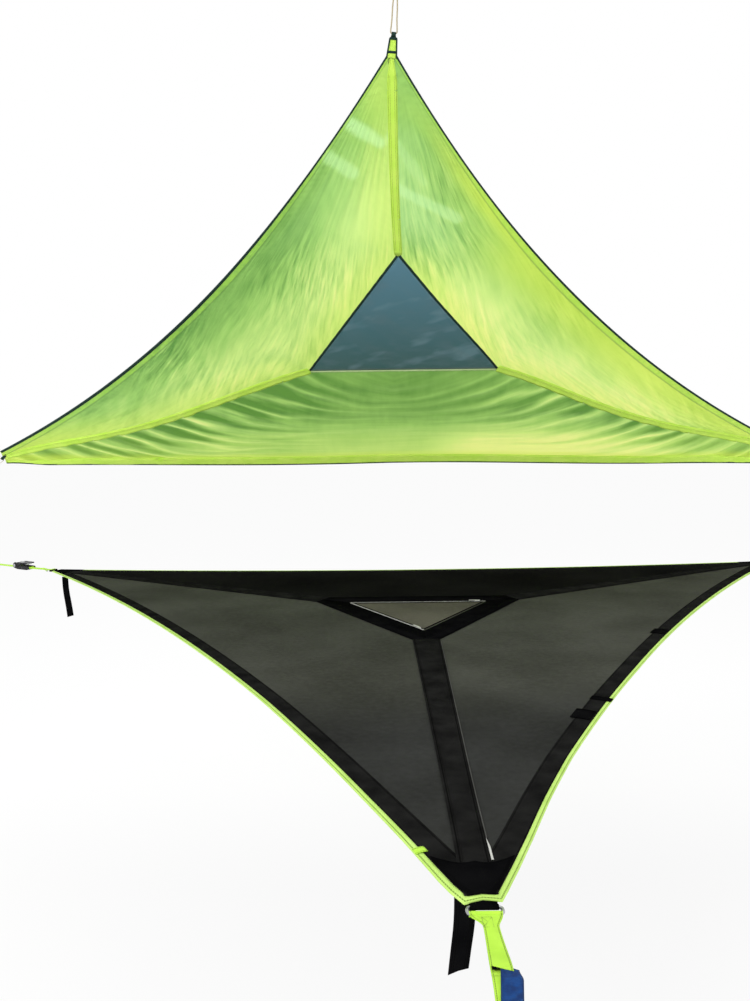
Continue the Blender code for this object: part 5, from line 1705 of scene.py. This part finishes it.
def make_nets(finish):
    """Three panels of net, each with a slight sag between its bands."""
    rows, along_seam = 26, 38
    left, right = LEFT_SEAM * CUT_AT, RIGHT_SEAM * CUT_AT
    edge = [Vector((*p, 0.0)) for p in edge_run(edge_at_cut(CUT_AT, 0.0), 0.0, 90)]
    outer = [left] + edge + [right]
    corner_left, corner_right = LEFT_SEAM * 2.0 * HATCH_IN, RIGHT_SEAM * 2.0 * HATCH_IN
    inner = straight_run(left, corner_left, along_seam)
    inner += straight_run(corner_left, corner_right, len(outer) - 2 * along_seam - 2)[1:]
    inner += straight_run(corner_right, right, along_seam)[1:]
    inner += [inner[-1]] * (len(outer) - len(inner))
    area = outline_area([(p.x, p.y) for p in outer] + [(p.x, p.y) for p in inner[::-1]])
    pieces = []
    for name, angle in SECTORS.items():
        turn = turn_by(angle)
        vertices = []
        for k in shares(rows):
            for a, b in zip(inner, outer):
                place = a.lerp(b, k)
                wide = (b - a).length
                hold = smoothstep(k * wide, 0.06, 0.22) * smoothstep((1.0 - k) * wide, 0.07, 0.2)
                sag = 0.5 + 0.5 * noise_at(place.x * 2.3 + angle, place.y * 2.3, 1.5)
                sag += 0.35 * noise_at(place.x * 9.0, place.y * 9.0 + angle, 2.5)
                vertices.append(turn @ (place - UP * (0.006 * hold * sag)))
        kind = "net_back" if name == "back" else "net"
        panel = add_mesh(f"net_{name}", vertices, grid_faces(rows + 1, len(outer)), finish[kind])
        # painted shade: darker towards the near corner
        paint(panel, "shade", [smoothstep(-p.y + 0.12 * noise_at(p.x, p.y, 5.0), 0.9, 1.5)
                               for p in vertices])
        merge_points(panel)
        smooth(panel)
        thicken(panel, MESH_THICKNESS)
        settle(panel, "black_mesh", replaced=[f"mesh_panel_{name}"])
        pieces.append((panel, area))
    return pieces


def make_edge_bands(finish):
    """The black hem band along each edge, trimmed at the seams and the corners."""
    height = LAYER + BAND_THICKNESS / 2.0
    pieces = []
    for name, angle in SECTORS.items():
        outer_inset = EDGING_WIDTH * EDGING_SHARE[name] - TUCK
        first, last = (turned(edge_run(-0.02, inset), angle, height)
                       for inset in (outer_inset, EDGING_WIDTH + GAP + EDGE_BAND_WIDTH))
        pieces.append(sew(f"edge_band_{name}_tape", between(first, last, 7, 0.0004),
                          finish["black_edge_highlight"], BAND_THICKNESS, "black_webbing",
                          [f"edge_band_{name}"], cuts=sector_cuts(angle, EDGING_AT + TUCK)))
    return pieces


def make_edging(finish):
    """Lime webbing folded round the whole edge and across the cut corners."""
    top = LAYER + BAND_THICKNESS / 2.0 + 0.0004
    profile = ((EDGING_WIDTH, top - 0.0002), (0.6 * EDGING_WIDTH, top + 0.0003),
               (0.0012, top), (-0.0010, 0.4 * top), (-0.0010, -0.6 * top), (0.0012, -top),
               (0.6 * EDGING_WIDTH, -top - 0.0003), (EDGING_WIDTH, -top + 0.0002))
    lines = []
    for inset, height in profile:
        ends = []
        for name, share in EDGING_SHARE.items():
            start = edge_at_cut(CUT_AT - inset, inset * share)
            ends.append(turned(edge_run(start, inset * share), SECTORS[name], height))
        line = []
        for run, following in zip(ends, ends[1:] + ends[:1]):
            line += run + straight_run(run[-1], following[0], 4)[1:-1]
        line.append(line[0])
        lines.append(line)
    return sew("edging_tape", lines, finish["edging"], 0.0011, "lime_webbing", ["edge_webbing"],
               widths=walked_along(profile))


def seam_half_width(along):
    """Half the width of a hammock seam's band, this far out from the middle."""
    end = CENTRE_TO_CORNER - SEAM_FROM_CORNER
    share = (along - SEAM_START) / (end - SEAM_START)
    return (SEAM_WIDTH_AT_HATCH + (SEAM_WIDTH_AT_CORNER - SEAM_WIDTH_AT_HATCH) * share) / 2.0


def make_hammock_seams(finish):
    """Three tapering bands from the hatch to the corners, bound along both sides."""
    start = SEAM_START - 0.004
    height = LAYER + BAND_THICKNESS + 0.0006
    runs = evenly(start, EDGING_AT, 60)
    pieces = []
    for name, angle in CORNERS.items():
        turn = turn_by(angle)
        sides = lay((-1.0, 1.0), runs,
                    lambda side, x: turn @ Vector((x, side * seam_half_width(x), height)))
        pieces.append(sew(f"seam_tape_{name}", between(*sides, 7, 0.0004), finish["black_edge_highlight"],
                          BAND_THICKNESS, "black_webbing", [f"seam_band_{name}"]))
        for side, label in ((-1.0, "a"), (1.0, "b")):
            lines = lay(
                ((-0.010, 0.0009), (-0.005, 0.0017), (0.001, 0.0007)), runs,
                lambda p, x: turn @ Vector((x, side * (seam_half_width(x) + p[0]), height + p[1])),
            )
            pieces.append(sew(f"seam_rib_{name}_{label}", lines, finish["black_edge_highlight"], THIN,
                              "black_webbing"))
        pieces.append(make_corner_patch(name, turn, finish))
    turn = turn_by(CORNERS["near"])
    # a grey strip along the near seam's side, then a pale strip at its end that is a painted
    # highlight
    grey_end, pale_end = 2.02, 2.105
    for name, kind, first, last, wide in (
        ("seam_side_tape", "grey_tape", start, grey_end, 0.003),
        ("seam_end_highlight_strip", "pale_highlight_strip", grey_end, pale_end, 0.0045),
    ):
        def place(out, share):
            x = first + (last - first) * share
            narrow = smoothstep(x, first - 0.01, first + 0.04)
            y = seam_half_width(x) + 0.0016 + out * wide * narrow
            return turn @ Vector((x, y, LAYER + 0.0016))

        pieces.append(sew(name, lay(shares(2), shares(40), place), finish[kind], THIN,
                          "dark_binding"))
    return pieces


def make_corner_patch(name, turn, finish):
    """Black cloth that stiffens the tip, over the bands and under the edging."""
    first = CENTRE_TO_CORNER - PATCH_FROM_CORNER
    last = EDGING_AT + TUCK
    height = LAYER + BAND_THICKNESS + 0.0024

    def place(across, share):
        side = 2.0 * across - 1.0
        start = first + 0.060 * abs(side) * (1.0 - abs(side)) - 0.02 * abs(side)
        x = start + (last - start) * share
        half = 0.0215 + 0.394 * (last - x)
        return turn @ Vector((x, side * half, height))

    return sew(f"corner_patch_{name}", lay(shares(10), shares(12), place), finish["black"],
               0.0010, "black_webbing")


def edge_tab(name, sector, at, wide, insets, bulge, steps, material, thickness):
    """A short strap across an edge band, at a share of the edge's length."""
    turn = turn_by(SECTORS[sector])
    inner, outer = insets

    def place(side, share):
        height = LAYER + BAND_THICKNESS + 0.0014 + bulge * math.sin(math.pi * share)
        t = at + wide / SIDE * (side - 0.5)
        return turn @ Vector((*edge_point(t, inner + (outer - inner) * share), height))

    return add_strip(name, lay(shares(4), shares(steps), place), material, thickness)


def make_edge_tabs(finish):
    """Short black straps sewn over the right edge band, and a bump of the left edging."""
    tabs = [
        edge_tab(f"edge_tab_{n}", "right", at, -wide, insets, 0.0012, 8, finish["black"], 0.0012)
        for n, (at, wide, insets) in enumerate((
            (0.738, 0.075, (0.072, 0.016)), (0.700, 0.030, (0.060, -0.003)),
            (0.480, 0.070, (0.068, 0.016)),
        ))
    ]
    tabs = settle(join("edge_tabs", tabs), "black_webbing")
    joint = edge_tab("edging_joint", "left", 0.063, 0.020, (0.0206, -0.0014), 0.0010, 6,
                     finish["lime"], 0.0011)
    return [tabs, settle(joint, "lime_webbing")]


def make_hatch(finish):
    """The black band round the way in, its zips and its door."""
    height = LAYER + BAND_THICKNESS / 2.0 + 0.0010
    reach = 2.0 * HATCH_OUT
    sides = []
    for angle in (90.0, 210.0, 330.0):
        turn = turn_by(angle)
        ends = lay((HATCH_IN + HATCH_LIP, HATCH_OUT), (-reach, 0.0, reach),
                   lambda x, y: turn @ Vector((x, y, height)))
        sides.append(add_strip(f"hatch_side_{angle:.0f}", between(*ends, 7, 0.0003),
                               finish["black"], BAND_THICKNESS,
                               sector_cuts(angle - 90.0, SEAM_START)))
    settle(join("hatch_frame_band", sides), "black_webbing", replaced=["hatch_frame"])
    make_zips(finish)
    make_door(finish)


def hatch_corner(inradius, angle, height=0.0):
    return direction(angle) * (2.0 * inradius) + UP * height


def hatch_tape(name, angles, steps, insets, height, material, thickness):
    """A tape along one side of the hatch; insets are (inradius, lift) of each of its lines."""
    lines = [
        straight_run(*(hatch_corner(inradius, angle, height + lift) for angle in angles), steps)
        for inradius, lift in insets
    ]
    return add_strip(name, lines, material, thickness)


def make_zips(finish):
    """Tapes and rows of teeth on the two sides of the hatch that open."""
    height = LAYER + 0.0007
    middle = HATCH_IN + 0.5 * HATCH_LIP
    tapes, vertices, faces = [], [], []
    for angles in ((270.0, 150.0), (30.0, 150.0)):
        tapes.append(hatch_tape(
            f"zip_tape_{angles[0]:.0f}", angles, 40,
            ((HATCH_IN + 0.0002, 0.0), (middle, 0.0), (HATCH_IN + HATCH_LIP, 0.0)), height,
            finish["black"], 0.0010,
        ))
        ends = [hatch_corner(middle, angle, height + 0.0006) for angle in angles]
        run = (ends[1] - ends[0]).normalized()
        side = UP.cross(run)
        for n, (place, _) in enumerate(walk(ends, 0.0022, 0.006)):
            if (place - ends[1]).length < 0.006:
                break
            hand = 1.0 if n % 2 else -1.0
            add_solid(vertices, faces, ZIP_TOOTH, place + side * (hand * 0.0012),
                      (run, 0.0009), (side, 0.0019), (UP, 0.0012))
    settle(join("zip_tape", tapes), "zip_nylon", replaced=["zip_track"])
    settle(add_mesh("zip_teeth", vertices, faces, finish["zip"]), "zip_nylon")


def make_door(finish):
    """The hatch's door: lighter net with a dark turned edge."""
    corners = [hatch_corner(HATCH_IN - 0.0005, angle, MESH_THICKNESS / 2.0)
               for angle in (150.0, -90.0, 30.0)]

    def place(a, b, c):
        flat = corners[0] * a + corners[1] * b + corners[2] * c
        hold = smoothstep(min(a, b, c), 0.0, 0.12)
        wave = 0.5 + 0.5 * noise_at(flat.x * 7.0, flat.y * 7.0, 3.0)
        return flat - UP * (0.0035 * hold * wave)

    door = add_triangle("door_net", 36, place, finish["door"], 0.0010)
    settle(door, "door_mesh", "hatch_door", ["hatch_door"])
    insets = ((HATCH_IN - 0.0010, 0.0), (HATCH_IN - 0.0045, 0.0006), (HATCH_IN - 0.0080, 0.0))
    tapes = [
        hatch_tape(f"door_tape_{angles[0]:.0f}", angles, 20, insets, MESH_THICKNESS + 0.0006,
                   finish["black"], THIN)
        for angles in ((150.0, -90.0), (30.0, 150.0), (-90.0, 30.0))
    ]
    edge = settle(join("door_edge_tape", tapes), "black_webbing", "hatch_door")


def make_hammock(finish):
    """The hammock: its nets with all that is sewn on them, and the hatch."""
    nets = make_nets(finish)
    bands = make_edge_bands(finish)
    bands.append(make_edging(finish))
    bands += make_edge_tabs(finish)
    bands += make_hammock_seams(finish)
    ease([panel for panel, _ in nets] + bands)
    make_hatch(finish)


# Tethers

def make_corner_loop(corner, matrix, finish):
    """Black webbing folded round the ring, sewn under the corner with a crossed box."""
    upper = -LAYER - WEBBING_THICKNESS / 2.0
    lower = upper - WEBBING_THICKNESS
    radius = RING_WIRE / 2.0 + GAP + WEBBING_THICKNESS / 2.0
    above = math.degrees(math.asin(-upper / radius))
    below = math.degrees(math.asin(-lower / radius))
    tail = RING_AT - LOOP_TAIL
    path = straight((tail, upper), (RING_AT - radius, upper), 14)
    path += arc((RING_AT, 0.0), radius, 180.0 + above, -180.0 + below, 26)
    path += straight((RING_AT - 1.2 * radius, lower), (tail + 0.010, lower), 14)
    loop = add_ribbon(f"corner_webbing_{corner}", path, LOOP_WIDTH, finish["black"], matrix)
    settle(loop, "black_webbing", replaced=[f"corner_loop_{corner}"])


def strap_width(x):
    """Width of a corner strap: spread on the ring, drawn in behind it, then even."""
    away = x - RING_AT - RING_BAR_SPACING
    on_ring, drawn_in, even = 1.16 * LOOP_WIDTH, 0.026, WEBBING_WIDTH - 0.002
    width = on_ring + (drawn_in - on_ring) * smoothstep(away, 0.000, 0.036)
    return width + (even - drawn_in) * smoothstep(away, 0.036, 0.150)


def make_corner_strap(corner, matrix, finish):
    """Lime webbing doubled between the ring and the bolt of the ratchet."""
    ring_x = RING_AT + RING_BAR_SPACING
    ring_r = RING_WIRE / 2.0 + GAP + WEBBING_THICKNESS / 2.0
    bolt_x = BOLT_AT[corner]
    bolt_r = BOLT_DIAMETER / 2.0 + GAP + WEBBING_THICKNESS / 2.0
    layer = WEBBING_THICKNESS / 2.0
    ring_angle = math.degrees(math.asin(layer / ring_r))
    bolt_angle = math.degrees(math.asin(layer / bolt_r))
    end = min(ring_x + SEWN_LENGTH, 0.5 * (ring_x + bolt_x))
    tail = straight((end, layer), (ring_x + ring_r, layer), 40)[:-1]
    path = tail + arc((ring_x, 0.0), ring_r, ring_angle, 360.0 - ring_angle, 26)
    path += straight((ring_x + ring_r * 1.1, -layer), (bolt_x - 1.1 * bolt_r, -layer), 50)
    path += arc((bolt_x, 0.0), bolt_r, -180.0 + bolt_angle, 180.0 - bolt_angle, 26)
    path += straight((bolt_x - 1.1 * bolt_r, layer), (end + 0.012, layer), 30)

    def place(share, j):
        side = share - 0.5
        x, z = path[j]
        on_tail = 1.0 if j < len(tail) else 0.0
        slant = on_tail * 0.014 * side * smoothstep(x, end - 0.045, end)
        lift = on_tail * 0.0034 * smoothstep(x, end - 0.05, end - 0.01)
        pinch = 0.0010 * math.cos(2.0 * math.pi * side) * smoothstep(x, ring_x, ring_x + 0.03)
        pinch *= smoothstep(x, ring_x + 0.11, ring_x + 0.05) * (1.0 if z > 0.0 else -1.0)
        bend = 0.0045 * smoothstep(x, ring_x, ring_x + 0.03)
        bend += 0.0010 * smoothstep(x, ring_x + 0.03, end)
        bend *= smoothstep(x, bolt_x - 0.02, end) if corner == "near" else 0.0
        return matrix @ Vector((x + slant, side * strap_width(x) + bend, z + pinch + lift))

    sew(f"strap_webbing_{corner}", lay(shares(6), range(len(path)), place), finish["lime"],
        STRAP_SHARE * WEBBING_THICKNESS, "lime_webbing", [f"corner_strap_{corner}"])


def make_tree_strap(corner, matrix, finish):
    """Lime webbing wound on the spool and sewn into the eye at the tree."""
    axle_x = BOLT_AT[corner] + AXLE_FROM_BOLT
    layer = -WEBBING_THICKNESS / 2.0
    inner_x, outer_x = eye_centres()
    radius = EYE_HEIGHT / 2.0 + WEBBING_THICKNESS / 2.0
    neck = inner_x - radius - SEWN_AT_EYE
    first = AXLE_DIAMETER / 2.0 + GAP + WEBBING_THICKNESS / 2.0
    last = ROLL_RADIUS - WEBBING_THICKNESS / 2.0
    path = []
    for share in shares(26 * ROLL_LAYERS):
        angle = math.radians(-90.0 + 360.0 * ROLL_LAYERS * (1.0 - share))
        r = first + (last - first) * min(1.0, share * ROLL_LAYERS / (ROLL_LAYERS - 1.0))
        path.append((axle_x + r * math.cos(angle), AXLE_HEIGHT + r * math.sin(angle)))
    path += straight((axle_x + 0.004, layer), (inner_x - radius, layer), 60)
    path += arc((inner_x, layer), radius, 172.0, 90.0, 8)
    path += straight((inner_x, layer + radius), (outer_x, layer + radius), 4)[1:]
    path += arc((outer_x, layer), radius, 90.0, -90.0, 14)[1:]
    path += straight((outer_x, layer - radius), (inner_x, layer - radius), 4)[1:]
    doubled = math.degrees(math.asin(WEBBING_THICKNESS / radius))
    path += arc((inner_x, layer), radius, -90.0, -180.0 + doubled, 8)[1:]
    path += straight((inner_x - 1.05 * radius, layer - WEBBING_THICKNESS),
                     (neck, layer - WEBBING_THICKNESS), 12)
    strap = add_ribbon(f"tree_webbing_{corner}", path, WEBBING_WIDTH, finish["lime"], matrix)
    settle(strap, "lime_webbing", replaced=[f"tree_strap_{corner}"])


def sewn_box(start, end, half, height):
    """Lines of stitches round a box and across it, in the plane of a strap."""
    a, b = Vector((start, -half, height)), Vector((end, -half, height))
    c, d = Vector((end, half, height)), Vector((start, half, height))
    return [[a, b], [b, c], [c, d], [d, a], [a, c], [b, d]]


def make_sewn_boxes(corner, matrix, finish):
    """The sewn boxes on the lime webbing at both ends, and the one under the corner."""
    half = WEBBING_WIDTH / 2.0 - 0.004
    eye = eye_centres()[0] - EYE_HEIGHT / 2.0
    ring_x = RING_AT + RING_BAR_SPACING
    strap = sewn_box(ring_x + 0.012, ring_x + 0.040, 0.6 * half, WEBBING_THICKNESS + 0.0001)
    strap += sewn_box(eye - 0.100, eye - 0.020, half, 0.0001)
    loop = sewn_box(RING_AT - LOOP_TAIL + 0.014, RING_AT - 0.016, LOOP_WIDTH / 2.0 - 0.005,
                    -LAYER - 2.0 * WEBBING_THICKNESS - 0.0001)
    for name, lines, up, thread, slot in (
        ("strap", strap, UP, "thread", "lime_webbing"),
        ("loop", loop, -UP, "dark_thread", "black_webbing"),
    ):
        lines = [[matrix @ p for p in line] for line in lines]
        settle(add_stitches(f"{name}_stitches_{corner}", lines, up, finish[thread],
                            *BOX_STITCH), slot)


def hang_place(corner):
    """Where a hanging strap is sewn on, as in the CAD model."""
    if corner == "near":
        return Vector((
            -HANG_BESIDE_NEAR_CORNER, HANG_FROM_NEAR_CORNER - CENTRE_TO_CORNER,
            -LAYER - 2.0 * WEBBING_THICKNESS - GAP,
        ))
    slope = math.radians(60.0) - math.atan(4.0 * EDGE_BOW / SIDE)
    x = SIDE / 2.0 - HANG_FROM_SIDE_CORNER * math.cos(slope)
    y = CENTRE_TO_EDGE - HANG_FROM_SIDE_CORNER * math.sin(slope)
    return Vector((-x if corner == "left" else x, y, -LAYER))


def make_hanging_strap(corner, finish):
    """Limp black webbing with a slight curl and a slanting cut end."""
    length = HANG_LENGTH[corner]
    top = hang_place(corner)
    top.x += 0.006 if corner == "near" else 0.0
    width = 0.037 if corner == "near" else HANG_WIDTH
    lean = {"near": -0.085, "left": 0.09, "right": 0.06}[corner]

    def place(share, t):
        side = share - 0.5
        curl = 0.007 * math.sin(2.6 * t) * t - 0.004 * math.sin(7.0 * t) * t
        twist = 0.18 * t * t
        x = side * width * math.cos(twist) + lean * length * t * t
        y = curl + side * width * math.sin(twist) + 0.0012 * math.cos(2.0 * math.pi * side)
        z = -WEBBING_THICKNESS / 2.0 - (length - 0.004) * t + 0.008 * side * t
        return top + Vector((x, y, z))

    strap = add_strip(f"hanging_webbing_{corner}", lay(shares(4), shares(30), place),
                      finish["black"], WEBBING_THICKNESS)
    settle(strap, "black_webbing", f"hanging_strap_{corner}", [f"hanging_strap_{corner}"])


def make_tag(matrix, finish):
    """The blue label, bare, one end sewn to the strap and the rest a little curled."""
    length, width = TAG_SIZE

    def place(share, t):
        wide = width * (0.80 + 0.20 * smoothstep(t, 0.0, 0.35))
        x = TAG_AT + length * t + 0.003 + 0.014 * (share - 0.5) * (1.0 - t)
        y = TAG_OVERHANG - width / 2.0 + wide * share + 0.003 - 0.013 * t
        z = WEBBING_THICKNESS + 0.0010 + 0.006 * t * t + 0.0015 * math.sin(5.0 * t)
        return matrix @ Vector((x, y, z + 0.0030 * t * share ** 2))

    sew("blue_tag", lay(shares(6), shares(24), place), finish["label"], THIN, "blue_label",
        ["tether_tag"])
    path = [(TAG_AT - 0.006, WEBBING_THICKNESS + 0.0004), (TAG_AT, WEBBING_THICKNESS + 0.0022),
            (TAG_AT + 0.008, WEBBING_THICKNESS + 0.0018)]
    shift = Matrix.Translation((0.0, -0.003, 0.0))
    tab = add_ribbon("tag_tab", path, 0.012, finish["black"], matrix @ shift, 0.0012, 3)
    settle(tab, "black_webbing")


def make_tethers(finish):
    """Each corner's loop, straps and stitches, and the label on the near strap."""
    for corner, angle in CORNERS.items():
        matrix = corner_matrix(angle)
        make_corner_loop(corner, matrix, finish)
        make_corner_strap(corner, matrix, finish)
        make_tree_strap(corner, matrix, finish)
        make_sewn_boxes(corner, matrix, finish)
        make_hanging_strap(corner, finish)
    make_tag(corner_matrix(CORNERS["near"]), finish)


def finish_metal(finish):
    """Finishes of the CAD pieces that stay: rings, hooks, ratchets and zip sliders."""
    kinds = {
        "ring": "steel", "canopy_hook": "steel", "ratchet_spool": "steel",
        "ratchet_trigger": "steel", "ratchet_frame": "dark_steel",
        "ratchet_handle": "dark_steel", "zip_slider": "zip",
    }
    for name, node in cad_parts.items():
        for start, kind in kinds.items():
            if name.startswith(start):
                node.data.materials.clear()
                node.data.materials.append(finish[kind])


def make_scene():
    make_camera()
    make_studio()
    finish = make_finishes()
    make_cords(finish)
    make_canopy(finish)
    make_hammock(finish)
    make_tethers(finish)
    finish_metal(finish)


make_scene()
bpy.context.view_layer.update()
